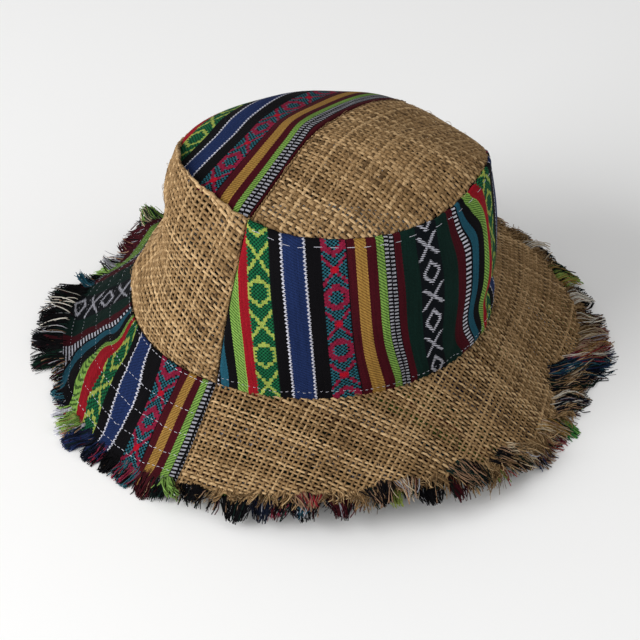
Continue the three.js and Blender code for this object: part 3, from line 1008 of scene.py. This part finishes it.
# One direction of a woven panel: yarns at even gaps, each swinging over and under the ones that cross it.
def yarnFamily(lay, low, high, isRow, rng, hand, ends, gaps, fullness):
    look = weaveLook
    gap, crossing = gaps[:2] if isRow else gaps[1::-1]
    step = crossing / look["steps"]
    lowAlong, highAlong = (low[0], high[0]) if isRow else (low[1], high[1])
    lowAcross, highAcross = (low[1], high[1]) if isRow else (low[0], high[0])
    alongIndex = np.arange(math.floor(lowAlong / step), math.ceil(highAlong / step) + 1)
    acrossIndex = np.arange(math.floor(lowAcross / gap), math.ceil(highAcross / gap) + 1)
    along = np.broadcast_to(alongIndex * step, (len(acrossIndex), len(alongIndex)))
    count = len(acrossIndex)

    def drift(lengths):
        waves = [along * 2 * math.pi / length + rng.uniform(0, fullTurn, (count, 1)) for length in lengths]
        return sum(np.sin(wave) for wave in waves) / len(lengths)

    across = (acrossIndex * gap)[:, None] + look["wander"] * drift(look["wanderLengths"])
    across = across + rng.normal(0, look["offLine"], (count, 1))
    sign = 1 if isRow else -1
    swing = np.cos(math.pi * along / crossing + math.pi * acrossIndex[:, None])
    lift = sign * look["swing"] * swing - look["depth"]
    u, v = (along, across) if isRow else (across, along)
    points, normals = lay(u, v, hand)
    heavy = rng.random((count, 1))
    girth = mix(*look["girths"], heavy) * (1 + look["slub"] * drift(look["slubLengths"]))
    slubs = np.where(rng.random((count, 1)) < look["slubShare"], look["slubGirth"], 1.0) if isRow else 1.0
    girth = girth * slubs * look["rowGirth" if isRow else "columnGirth"] * gap * gaps[2] * fullness(u, v)
    tone = look["rowTone" if isRow else "columnTone"] + rng.normal(0, look["toneSpread"], (count, 1))
    tone = tone + look["toneDrift"] * drift(look["toneLengths"])
    # Each yarn is painted darker where it dips under a crossing yarn and lighter where it rides over one:
    # painted shade and painted light.
    tone = np.clip(tone + look["paintedDipShade"] * (lift + look["depth"]), 0, 1)
    return {
        "centres": points + normals * lift[..., None], "normals": normals,
        "halfWidth": look["halfWidth"] * girth, "halfThick": look["halfThick"] * np.sqrt(girth),
        "keep": ends(u, v), "lengths": along, "marks": {"tone": tone},
    }


# Lays cloth on a surface: the points there, and their normals, which hand turns outwards.
def layWith(surface):
    def lay(u, v, hand):
        nudge = 0.35
        points = surface(u, v)
        acrossU = surface(u + nudge, v) - surface(u - nudge, v)
        acrossV = surface(u, v + nudge) - surface(u, v - nudge)
        return points, hand * unit(np.cross(acrossU, acrossV))

    return lay


# Thin fibres that stand off the yarns.
def hairFamily(lay, low, high, rng, hand, ends):
    look = weaveLook
    count = look["hairs"]
    u = rng.uniform(low[0], high[0], count)[:, None]
    v = rng.uniform(low[1], high[1], count)[:, None]
    share = np.linspace(-0.5, 0.5, 5)[None]
    length = rng.uniform(*look["hairLength"], count)[:, None]
    heading = rng.uniform(0, 2 * math.pi, count)[:, None]
    heading = heading + rng.normal(0, look["hairTurn"], count)[:, None] * share
    u = u + length * share * np.cos(heading)
    v = v + length * share * np.sin(heading)
    points, normals = lay(u, v, hand)
    rise = look["hairRise"] * rng.random((count, 1)) * (1 - 4 * share**2)
    rise = rise + rng.uniform(*look["hairTilt"], (count, 1)) * share
    inside = ends(u, v).all(axis=1, keepdims=True)
    radius = np.full(share.shape, look["hairRadius"]) * (1 - share**2) * np.ones((count, 1))
    return {
        "centres": points + normals * (rise - look["hairDepth"])[..., None], "normals": normals,
        "halfWidth": radius, "halfThick": radius, "keep": np.broadcast_to(inside, u.shape),
        "lengths": length * share, "marks": {"tone": rng.uniform(0.5, 1, (count, 1))},
    }


# The same everywhere on a panel.
def even(u, v):
    return np.ones_like(u)


def makeWeave(name, surface, ends, low, high, hand, seed, gaps, fullness=even):
    rng = np.random.default_rng(seed)
    lay = layWith(surface)
    families = []
    for isRow in (True, False):
        families.append(yarnFamily(lay, low, high, isRow, rng, hand, ends, gaps, fullness))
    families.append(hairFamily(lay, low, high, rng, hand, ends))
    return makeStrands(name, families, weaveLook["sides"], hempYarn)


def betweenSeams(azimuth, start, past):
    return (azimuth > start - past) & (azimuth < start + 180 + past)


def makeSideHemp():
    start = secondSeam
    tall = crown["sideHeight"]

    def surface(u, v):
        azimuth, height = sidePlace(u, v, start)
        return sideSurface(azimuth, height, start)

    def ends(u, v):
        azimuth, height = sidePlace(u, v, start)
        sideways = betweenSeams(azimuth, start, math.degrees(hem["tuck"] / crown["baseHalfWidth"]))
        return sideways & (height > -hem["hempBase"] / tall) & (height < 1 + hem["hempRim"] / tall)

    def fullness(u, v):
        azimuth, _ = sidePlace(u, v, start)
        return mix(weaveLook["sideFullness"], weaveLook["backFullness"], ease(azimuth, 200, 182))

    low, high = (-160, -8), (160, 120)
    return makeWeave("crownSideHemp", surface, ends, low, high, 1, 21, weaveLook["side"], fullness)


def makeTopHemp():
    start = firstSeam
    origin, along, across, length = topSeamLine(start)

    def surface(u, v):
        return topSurface(u, v, start)

    # The yarns end just inside the rim, and a little further out at the back right.
    def ends(u, v):
        plan = origin + along * v[..., None] + across * np.maximum(u, 0)[..., None]
        x = (plan[..., 0] - crown["rimShift"]) / crown["rimHalfLength"]
        y = plan[..., 1] / crown["rimHalfWidth"]
        azimuth = np.degrees(np.arctan2(y, x))
        reachPast = 0.6 * hill(azimuth, 50, 16) - 1.0
        limit = 1 + (sumAt(crown["rimOut"], azimuth) + reachPast) / crown["rimRadius"]
        return (np.hypot(x, y) < limit) & (u > -hem["hempTop"])

    # The weave is closer in the middle, and towards the seam's far end.
    def fullness(u, v):
        middle = 0.25 * hill(u, 45, 18) * hill(v, 58, 18)
        return 1 + middle + 0.25 * ease(v, 95, 130) + 0.5 * ease(v, 118, 134)

    low, high = (-3, 0), (84, length)
    return makeWeave("crownTopHemp", surface, ends, low, high, 1, 22, weaveLook["top"], fullness)


def makeBrimHemp():
    start = firstSeam

    def surface(u, v):
        azimuth, reach, _ = brimPlace(u, v, start)
        return brimPanelSurface(azimuth, reach, start)

    def ends(u, v):
        azimuth, reach, rho = brimPlace(u, v, start)
        sideways = betweenSeams(azimuth, start, np.degrees(hem["hempBrim"] / rho))
        outside = reach < rawEdge(azimuth) / brimSlant(azimuth)
        return sideways & (reach > -hem["hempInner"] / brim["slant"]) & outside

    return makeWeave("brimUpperHemp", surface, ends, (-6, -175), (175, 175), -1, 23, weaveLook["brim"])


# Lock is how closely a lock's threads gather, and lean, curl, lift and sag are how they bend sideways and
# down. Short is the least share of a thread's full length, and thin is the share of thin threads. In a tuft,
# half is half its width in degrees, and inset is how far inside the raw edge it starts; where that is
# negative, the tuft lies on top of the brim and begins that far in.
tuftColumns = ("azimuth", "half", "threads", "length", "lean", "rise", "inset", "dyes")
frays = {
    "hemp": {
        "start": firstSeam, "turn": 180, "locks": 74, "threads": 1700,
        "radius": 0.36, "taper": 0.45, "sides": 3, "steps": 8,
        "layer": -0.8, "lock": 0.35, "lean": 0.55, "curl": 1.25, "lift": 0.3, "sag": 0.18, "short": 0.35,
        "full": 0.9, "thin": 0.55,
        "tufts": (
            (-56, 2, 40, 12, -0.3, -0.1, 3, "hemp"), (-52, 3, 70, 14, -0.2, -0.15, 3, "hemp"),
            (-44, 4, 60, 15, 0.6, 0.1, -5, "hemp"), (-80, 4, 60, 10, 0.2, 0, 3, "hemp"),
            (-15, 5, 22, 24, 0.6, 0.1, -12, "hemp"), (-4, 4, 40, 18, 0.3, 0, -6, "hemp"),
            (4, 4, 50, 14, 0.1, 0.1, 3, "hemp"), (37, 5, 50, 12, 0, 0.2, 3, "hemp"),
        ),
    },
    "cotton": {
        "start": secondSeam, "turn": 180, "locks": 110, "threads": 1500,
        "radius": 0.31, "taper": 0.3, "sides": 3, "steps": 6,
        "layer": -0.6, "lock": 0.55, "lean": 0.22, "curl": 0.4, "lift": 0.2, "sag": 0.16, "short": 0.7,
        "full": 1.0, "thin": 0.2,
        "tufts": (
            (131, 4, 150, 14, 0, 0.4, 3, "lime lime deepGreen cream"),
            (138, 5, 150, 13, 0.1, 0.2, 3, "maroon"), (146, 3, 60, 13, 0, 0.2, 3, "ash ash black"),
            (155.5, 1.7, 60, 12, 0, 0.45, 3, "teal"), (161, 5, 300, 21, 0.1, 0.14, 4, "black"),
            (164, 9, 7, 20, 0.1, 0.16, -3, "pale"), (169, 5, 300, 22, 0.05, 0.1, 4, "black"),
            (174, 9, 7, 20, 0, 0.12, -3, "pale ash"), (177, 5, 280, 24, 0, 0.06, 4, "black"),
            (183, 3.5, 180, 25, 0.2, 0, 4, "black black deepGreen"),
            (197, 5, 70, 7, 0, 0, 3, "teal tealBright navy"), (203.5, 2, 36, 13, -0.2, 0.05, 3, "white"),
            (206.5, 2.6, 130, 16, 0.2, 0.12, -2, "yellowGreen lime lime"),
            (208, 1.4, 50, 16, 0.15, 0.1, 3, "gold blush"), (210, 0.8, 34, 19, -0.25, 0.15, 3, "white"),
            (213, 3, 300, 18, -0.15, 0.08, 3, "blue blue navy"), (217.5, 2, 110, 15, 0, 0, 3, "navy"),
            (219, 1.6, 60, 14, 0.1, 0, 3, "crimson black"), (223, 3, 110, 13, 0, 0, 3, "black"),
            (226.5, 2.4, 90, 13, 0.1, 0, 3, "tealBright crimson black"),
            (229, 2.4, 80, 13, 0, 0, 3, "crimson tealBright black"),
            (233.5, 2.5, 140, 14, 0, 0, 3, "maroon"), (237, 2, 110, 12, 0, 0.1, 3, "bottle black"),
            (238.2, 1.7, 150, 16, 0.6, 0.4, -3, "lime"),
        ),
    },
    "under": {
        "start": 0, "turn": 360, "locks": 170, "threads": 1500,
        "radius": 0.34, "taper": 0.2, "sides": 3, "steps": 6,
        "layer": -2.7, "lock": 0.6, "lean": 0.3, "curl": 1.05, "lift": 0.1, "sag": 0.3, "short": 0.6,
        "full": 1.0, "thin": 0.2,
        "tufts": (
            (-115, 3.5, 120, 9, 0, 0.25, -2, "black"), (-105.5, 4, 200, 11, 0.1, 0, 3, "black"),
            (-100, 3.5, 90, 10, 0, 0, 3, "navy"), (-96, 3, 60, 10, -0.2, 0, 3, "crimson maroon black"),
            (-92, 4, 80, 10, 0.2, 0.05, 3, "black"), (-93, 2, 40, 10, 0.2, 0.1, 3, "teal ash navy"),
            (-91, 3, 60, 9, 0.2, 0.25, -2, "red crimson hemp"),
            (-84.5, 3, 110, 10, 0.1, 0, 3, "maroon maroon black"),
            (-76.5, 3.4, 90, 11, 0, 0.2, -4, "black black hemp"), (-74, 2, 40, 9, 0.1, 0, 3, "yellowGreen"),
            (-71, 3, 34, 12, -0.1, 0.25, -4, "ash cream hemp"), (-67, 4, 150, 10, 0, 0, 3, "black"),
            (-61, 2.6, 60, 10, 0, 0, 3, "maroon"), (-57.5, 4, 120, 11, 0.2, 0.3, -9, "bottle black hemp"),
            (-45, 3, 26, 15, 0.7, 0.15, -7, "cream"), (-47, 4, 100, 13, 0.5, 0.1, -7, "black black hemp"),
            (-40, 4, 50, 16, 0.5, 0.05, 3, "blush cream hemp"),
            (-34, 3.2, 50, 15, 0.4, 0, 3, "red blush cream"),
            (-31, 4, 40, 16, 0.5, 0.1, -6, "gold cream hemp"),
            (-27, 2.4, 150, 18, 0, 0.04, 3, "leaf leaf leaf lime"),
            (-21, 3, 70, 21, 0.5, 0, -4, "navy navy black hemp"),
            (-21, 4, 14, 20, 0.6, 0.1, -8, "pale cream"),
            (-16, 3.4, 110, 28, 0.75, 0.05, -14, "black navy deepGreen hemp"),
            (-12, 4, 200, 31, 0.7, 0.06, -16, "navy navy blue teal"),
            (-9, 4, 90, 29, 0.6, 0.05, -12, "black blue teal"),
            (-10, 5, 16, 31, 0.62, 0.12, -13, "pale cream"), (-5, 2.4, 50, 24, 0.5, 0.1, -9, "red crimson"),
            (-5, 2, 8, 27, 0.5, 0.16, -10, "pale"), (-4, 1.5, 20, 27, 0.5, 0.12, -4, "gold"),
            (-1, 3, 110, 21, 0.35, 0.08, -3, "blush hemp maroon cream"),
            (4, 3, 90, 19, 0.2, 0.1, 3, "maroon hemp blush"), (3, 3, 14, 19, 0.2, 0.15, -3, "cream"),
            (9, 4, 120, 18, 0, 0.08, 4, "black navy hemp black"), (9, 4, 12, 18, 0, 0.14, -2, "pale cream"),
            (16, 4, 130, 17, 0, 0.08, 4, "black"), (16, 4, 16, 17, 0, 0.14, -2, "pale"),
            (22.5, 3.2, 100, 16, 0, 0.14, -2, "yellowGreen lime deepGreen gold"),
            (27.5, 3, 90, 16, 0, 0.1, 4, "black deepGreen"),
            (33, 4, 90, 16, 0, 0.1, 4, "black navy black hemp"), (33, 4, 14, 16, 0, 0.14, -2, "pale cream"),
            (39, 3, 50, 15, 0, 0.12, 3, "cream black hemp"), (45, 4, 50, 14, 0, 0.1, 3, "blush cream hemp"),
        ),
    },
}
pictureDyes = {  # the threads of the bands with woven pictures, and those of the weft
    "diamond": ("deepGreen", "brightGreen", "yellowGreen"), "cross": ("crimson", "tealBright", "black"),
    "weft": (*["black"] * 6, "bottle", "bottle", "maroon", "hemp", "ash"),
}
frayHabits = {
    "clear": 0.3,  # degrees between the last thread and a seam
    "follow": 0.55, "headingSpread": 0.35, "steepest": 1.2, "tuftSpread": 0.25, "tuftHalf": 0.6,
    "lockLengths": (0.8, 1.15), "longest": 1.12, "inset": 2.5, "ownBend": 0.3, "ownPhase": 0.5,
    "waves": (0.6, 1.2), "ownWaves": (0.85, 1.15), "wag": 0.5, "wagWaves": 5, "wagPhase": 1.7,
    "gatherPower": 1.3, "droop": -0.35, "ownRise": 0.4, "facing": (0.15, 0.1, 1.0),
    "pointed": 1.15, "pointedBy": 1.5, "leastPointed": 0.3, "ownInsets": (0.55, 1.1),
    "emergeFrom": -0.7, "emergeTo": 0.7, "emergeBy": 0.25, "layerSpread": 0.4, "floorGap": 0.05,
    "girths": (0.75, 1.3), "thinGirth": 0.45, "stray": 0.15,
}


def dyeMark(names):
    return np.array([(threadDyes.index(name) + 0.5) / len(threadDyes) for name in names])


# The dye of the warp thread at a place across the cloth.
def stripeDye(across, rng):
    f = float(across % clothRepeat)
    for picture in ("diamond", "cross"):
        if abs(f - motifs[picture]["middle"]) < motifs[picture]["half"]:
            return rng.choice(pictureDyes[picture])
    return [name for start, name in stripes if start <= f][-1]


def tuftColumn(tufts, title):
    return [row[tuftColumns.index(title)] for row in tufts]


# The dye of each thread: a tuft's own, or that of the stripe it was woven in, and now and then any weft's.
def threadNames(look, owner, warp, across, rng):
    locks = look["locks"]
    weft = rng.choice(pictureDyes["weft"], len(owner))
    stray = rng.random(len(owner)) < frayHabits["stray"]
    tuftDyes = [names.split() for names in tuftColumn(look["tufts"], "dyes")]
    names = []
    for thread, group in enumerate(owner):
        if group >= locks and not stray[thread]:
            names.append(rng.choice(tuftDyes[group - locks]))
        elif group < locks and warp[thread]:
            names.append(stripeDye(across[thread], rng))
        else:
            names.append(weft[thread])
    return names


# Threads along the raw edge, gathered in locks and tufts. Each starts inside the cloth and runs along the
# yarns it was woven with, warp or weft, whichever leaves the edge more directly.
def frayedEdge(name, look, axisAngle, rootAcross, material, seed):
    rng = np.random.default_rng(seed)
    habit = frayHabits
    tufts = look["tufts"]
    locks = look["locks"]
    groups = locks + len(tufts)
    pitch = look["turn"] / locks
    inTufts = np.repeat(np.arange(locks, groups), tuftColumn(tufts, "threads"))
    owner = np.concatenate([rng.integers(0, locks, look["threads"]), inTufts])
    inLock = owner < locks
    count = len(owner)

    def perGroup(values, title):
        return np.concatenate([np.broadcast_to(values, locks), tuftColumn(tufts, title)])[owner]

    within = rng.uniform(-0.5, 0.5, count)
    inTuft = np.clip(rng.normal(0, habit["tuftSpread"], count), -habit["tuftHalf"], habit["tuftHalf"])
    within = np.where(inLock, within, inTuft)
    width = perGroup(pitch, "half") * np.where(inLock, 1, 2)
    root = perGroup(look["start"] + pitch * (np.arange(locks) + 0.5), "azimuth") + width * within
    if look["turn"] < 360:
        root = np.clip(root, look["start"] + habit["clear"], look["start"] + look["turn"] - habit["clear"])
    angle = axisAngle(root)  # between the way out and the warp
    warp = rng.random(count) < np.cos(angle) ** 2
    turned = np.where(warp, angle, angle - math.pi / 2)
    turned = (turned + math.pi / 2) % math.pi - math.pi / 2
    turned = np.where(inLock, habit["follow"] * turned, 0)
    lean = perGroup(look["lean"] * rng.uniform(-1, 1, locks), "lean")
    heading = turned + lean + habit["headingSpread"] * look["lean"] * rng.normal(size=count)
    heading = np.clip(heading, -habit["steepest"], habit["steepest"])
    full = (brim["fringe"] + sumAt(brim["fringeChange"], root)) * look["full"]
    share = np.linspace(0, 1, look["steps"])[None]
    ownLength = perGroup(rng.uniform(*habit["lockLengths"], locks), "length")
    inset = perGroup(habit["inset"], "inset")
    onTop = inset < 0
    pointed = np.clip(habit["pointed"] - habit["pointedBy"] * np.abs(within), habit["leastPointed"], 1)
    pointed = pointed * rng.uniform(*habit["ownInsets"], count)
    inset = np.abs(inset) * np.where(inLock, 1, pointed)
    length = np.where(inLock, full, 1) * ownLength
    length = length * rng.uniform(look["short"], habit["longest"], count) + inset
    run = length[:, None] * share

    # The threads of a lock or tuft bend together, each a little in its own way.
    curl = rng.uniform(-1, 1, groups)[owner] + habit["ownBend"] * rng.normal(size=count)
    curl = look["curl"] * curl[:, None]
    wave = rng.uniform(*habit["waves"], groups)[owner] * rng.uniform(*habit["ownWaves"], count)
    wave = wave[:, None]
    phase = rng.uniform(0, 2 * math.pi, groups)[owner] + habit["ownPhase"] * rng.normal(size=count)
    phase = phase[:, None]
    bend = heading[:, None] + curl * np.sin(share * wave * 2 * math.pi + phase) * share
    gather = -look["lock"] * (np.radians(width) * brim["edgeRadius"] * within)[:, None]
    gather = gather * share ** habit["gatherPower"]
    step = np.diff(run, axis=1, prepend=0)
    out = np.cumsum(step * np.cos(bend), axis=1) - inset[:, None]
    sideways = np.cumsum(step * np.sin(bend), axis=1) + gather
    edge = rawEdge(root)
    azimuth = root[:, None] + np.degrees(sideways / brim["edgeRadius"])

    rise = perGroup(look["lift"] * rng.uniform(habit["droop"], 1, locks), "rise")
    rise = rise + habit["ownRise"] * look["lift"] * rng.normal(size=count)
    wag = habit["wag"] * np.sin(share * wave * habit["wagWaves"] + phase * habit["wagPhase"]) * share
    emerging = mix(habit["emergeFrom"], habit["emergeTo"], ease(share, 0, habit["emergeBy"]))
    layer = np.where(onTop[:, None], emerging, look["layer"])
    layer = layer + rng.uniform(-habit["layerSpread"], habit["layerSpread"], count)[:, None]
    lift = layer + run * (rise[:, None] * share - look["sag"] * share**2) + wag
    reach = (edge[:, None] + out) / brimSlant(root)[:, None]
    centres = brimSurface(azimuth, reach, lift)
    girth = rng.uniform(*habit["girths"], count)
    girth = girth * np.where(rng.random(count) < look["thin"], habit["thinGirth"], 1)
    radius = look["radius"] * girth[:, None] * (1 - look["taper"] * share**2)
    centres[..., 2] = np.maximum(centres[..., 2], radius + habit["floorGap"])
    normals = np.broadcast_to(np.array(habit["facing"]), centres.shape)
    family = {
        "centres": centres, "normals": normals, "halfWidth": radius, "halfThick": radius,
        "keep": np.ones(radius.shape, bool), "lengths": run, "marks": {"tone": rng.random((count, 1))},
    }
    if rootAcross is not None:
        names = threadNames(look, owner, warp, rootAcross(root), rng)
        family["marks"]["dye"] = dyeMark(names)[:, None]
    return makeStrands(name, [family], look["sides"], material)


def makeHempFringe():
    def axisAngle(azimuth):
        return np.radians((firstSeam - azimuth) * flat["brimShare"])

    return frayedEdge("fringeHemp", frays["hemp"], axisAngle, None, hempYarn, 31)


def makeCottonFringe():
    def rootAcross(azimuth, reach=1.0):
        return brimStripes(azimuth, np.full_like(azimuth, reach))[..., 0]

    # The stripes' own direction, from how they change along the edge and towards it.
    def axisAngle(azimuth):
        nudge = 0.5
        here = rootAcross(azimuth)
        alongEdge = (rootAcross(azimuth + nudge) - here) / (math.radians(nudge) * brim["edgeRadius"])
        outFromEdge = (here - rootAcross(azimuth, 0.98)) / (0.02 * brim["slant"])
        return np.arctan2(outFromEdge, alongEdge)

    return frayedEdge("fringeCotton", frays["cotton"], axisAngle, rootAcross, cottonThread, 32)


def makeUnderFringe():
    def axisAngle(azimuth):
        return -np.radians(azimuth - math.degrees(underAlong))

    def rootAcross(azimuth):
        return underPattern(brimSurface(azimuth, np.ones_like(azimuth)))[..., 0]

    return frayedEdge("fringeUnder", frays["under"], axisAngle, rootAcross, cottonThread, 33)


# Rows of running stitches. Each dash is a short thread that comes up out of the cloth and goes down again.
stitchLook = {
    "points": 5, "sides": 4, "over": 0.22, "under": 0.35, "sunk": -0.06, "sunkFrom": (212, 198),
    "seamGap": 1, "placeSpread": 0.2, "dashes": (0.8, 1.15), "tones": (0.4, 1),
    "rowSway": 0.004, "rowSwayLength": 5, "levelSpread": 0.0018, "tilt": 0.003,
    # Each place has the levels of its rows, how far out a row runs at level 0 and how much further at
    # level 1, and the thread's radius.
    "brim": {
        "rows": (0.03, *brim["quiltRows"]), "round": (95, 55), "radius": 0.15, "dash": 2.5, "pitch": 3.4,
    },
    "rim": {"rows": (0.955,), "round": (84, 0), "radius": 0.15, "dash": 5, "pitch": 8},
    "base": {"rows": (0.035,), "round": (94, 0), "radius": 0.12, "dash": 1.7, "pitch": 2.8},
}


def stitchRow(surface, where, level, start, rng):
    look = stitchLook
    row = look[where]
    radius = row["round"][0] + row["round"][1] * level
    count = int(math.radians(180 - 2 * look["seamGap"]) * radius / row["pitch"])
    share = np.linspace(-0.5, 0.5, look["points"])[None]
    middle = (np.arange(count) + 0.5)[:, None] * row["pitch"]
    middle = middle + rng.normal(0, look["placeSpread"], (count, 1))
    length = row["dash"] * rng.uniform(*look["dashes"], (count, 1))
    azimuth = start + look["seamGap"] + np.degrees((middle + length * share) / radius)
    drift = look["rowSway"] * np.sin(azimuth / look["rowSwayLength"])
    drift = drift + rng.normal(0, look["levelSpread"], (count, 1))
    drift = drift + rng.normal(0, look["tilt"], (count, 1)) * share
    levels = np.broadcast_to(level + drift, azimuth.shape)
    points = surface(azimuth, levels)
    along = surface(azimuth + 0.2, levels) - points
    up = surface(azimuth, levels + 0.004) - points
    normals = unit(np.cross(along, up))
    sunk = ease(azimuth, *look["sunkFrom"]) if where == "brim" else 0.0 * azimuth
    over = mix(look["over"], look["sunk"], sunk)
    lift = mix(-look["under"], over, 1 - (2 * np.abs(share)) ** 3)
    outAndUp = np.concatenate([outward(azimuth), np.ones_like(azimuth)[..., None]], -1)
    normals = normals * np.sign(np.sum(normals * outAndUp, -1))[..., None]
    radii = np.full(azimuth.shape, row["radius"])
    white = np.broadcast_to(dyeMark(["white"]), (count, 1))
    return {
        "centres": points + normals * lift[..., None], "normals": normals,
        "halfWidth": radii, "halfThick": radii, "keep": np.ones(azimuth.shape, bool),
        "lengths": length * share, "marks": {"tone": rng.uniform(*look["tones"], (count, 1)), "dye": white},
    }


def makeStitches():
    rng = np.random.default_rng(41)

    def onBrim(azimuth, reach):
        return brimPanelSurface(azimuth, reach, secondSeam)

    def onSide(azimuth, height):
        return sideSurface(azimuth, height, firstSeam)

    places = (("brim", onBrim, secondSeam), ("rim", onSide, firstSeam), ("base", onSide, firstSeam))
    rows = [
        stitchRow(surface, where, level, start, rng)
        for where, surface, start in places for level in stitchLook[where]["rows"]
    ]
    return makeStrands("stitches", rows, stitchLook["sides"], cottonThread)


sideCotton = makeSideCotton()
topCotton = makeTopCotton()
brimCotton = makeBrimCotton()
underCotton = makeUnderCotton()
print("cotton panels made")
sideHemp = makeSideHemp()
topHemp = makeTopHemp()
brimHemp = makeBrimHemp()
print("hemp weaves made")
hempFringe = makeHempFringe()
cottonFringe = makeCottonFringe()
underFringe = makeUnderFringe()
stitches = makeStitches()
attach(stitches, "root")
print("fringes and stitches made")

for piece, node, slot in (
    (sideCotton, "crown_side_cotton", "striped_cotton"),
    (topCotton, "crown_top_cotton", "striped_cotton"),
    (brimCotton, "brim_upper_cotton", "striped_cotton"),
    (underCotton, "brim_under_cotton", "striped_cotton"),
    (sideHemp, "crown_side_hemp", "hemp_weave"),
    (topHemp, "crown_top_hemp", "hemp_weave"),
    (brimHemp, "brim_upper_hemp", "hemp_weave"),
    (hempFringe, "fringe_hemp", "hemp_weave"),
    (cottonFringe, "fringe_cotton", "frayed_thread"),
    (underFringe, "fringe_under", "frayed_thread"),
):
    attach(piece, "root")
    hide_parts(node)

# The stage: a pale floor and soft light from the front left.
studio = {
    "floorSize": 6.0, "keyPlace": (-1.75, -1.0, 1.0), "keySize": 1.5, "keyPower": 52,
    "fillPlace": (1.5, -0.9, 1.2), "fillSize": 1.6, "fillPower": 6, "world": 0.47, "aim": (0.0, 0.0, 0.06),
}


def makeStage():
    mesh = bpy.data.meshes.new("floor")
    half = studio["floorSize"] / 2
    corners = [(-half, -half, 0), (half, -half, 0), (half, half, 0), (-half, half, 0)]
    mesh.from_pydata(corners, [], [(0, 1, 2, 3)])
    floor = bpy.data.objects.new("floor", mesh)
    bpy.context.scene.collection.objects.link(floor)
    material = bpy.data.materials.new("paleFloor")
    material.use_nodes = True
    shader = material.node_tree.nodes["Principled BSDF"]
    shader.inputs["Base Color"].default_value = (0.97, 0.97, 0.965, 1)
    shader.inputs["Roughness"].default_value = 0.9
    mesh.materials.append(material)


def makeLight(name, place, size, power):
    light = bpy.data.lights.new(name, "AREA")
    light.size = size
    light.energy = power
    lamp = bpy.data.objects.new(name, light)
    lamp.location = place
    aim = np.array(studio["aim"]) - np.array(place)
    level = math.hypot(aim[0], aim[1])
    lamp.rotation_euler = (math.atan2(level, -aim[2]), 0, math.atan2(aim[1], aim[0]) - math.pi / 2)
    bpy.context.scene.collection.objects.link(lamp)


def makeWorld():
    world = bpy.data.worlds.new("studio")
    world.use_nodes = True
    world.node_tree.nodes["Background"].inputs["Color"].default_value = (1, 1, 1, 1)
    world.node_tree.nodes["Background"].inputs["Strength"].default_value = studio["world"]
    bpy.context.scene.world = world


viewpoint = {
    "target": (-0.0002, -0.0023, 0.049), "elevation": 37, "distance": 1.0, "drop": 1.23, "lens": 104.96,
}


def makeCamera():
    camera = bpy.data.objects.new("camera", bpy.data.cameras.new("camera"))
    elevation = math.radians(viewpoint["elevation"])
    x, y, z = viewpoint["target"]
    away = viewpoint["distance"]
    camera.location = (x, y - away * math.cos(elevation), z + away * math.sin(elevation))
    camera.rotation_euler = (math.radians(90 - viewpoint["elevation"] - viewpoint["drop"]), 0, 0)
    camera.data.lens = viewpoint["lens"]
    bpy.context.scene.collection.objects.link(camera)
    bpy.context.scene.camera = camera


makeStage()
makeLight("keyLight", studio["keyPlace"], studio["keySize"], studio["keyPower"])
makeLight("fillLight", studio["fillPlace"], studio["fillSize"], studio["fillPower"])
makeWorld()
makeCamera()
bpy.context.scene.view_settings.view_transform = "Standard"
print("stage made")
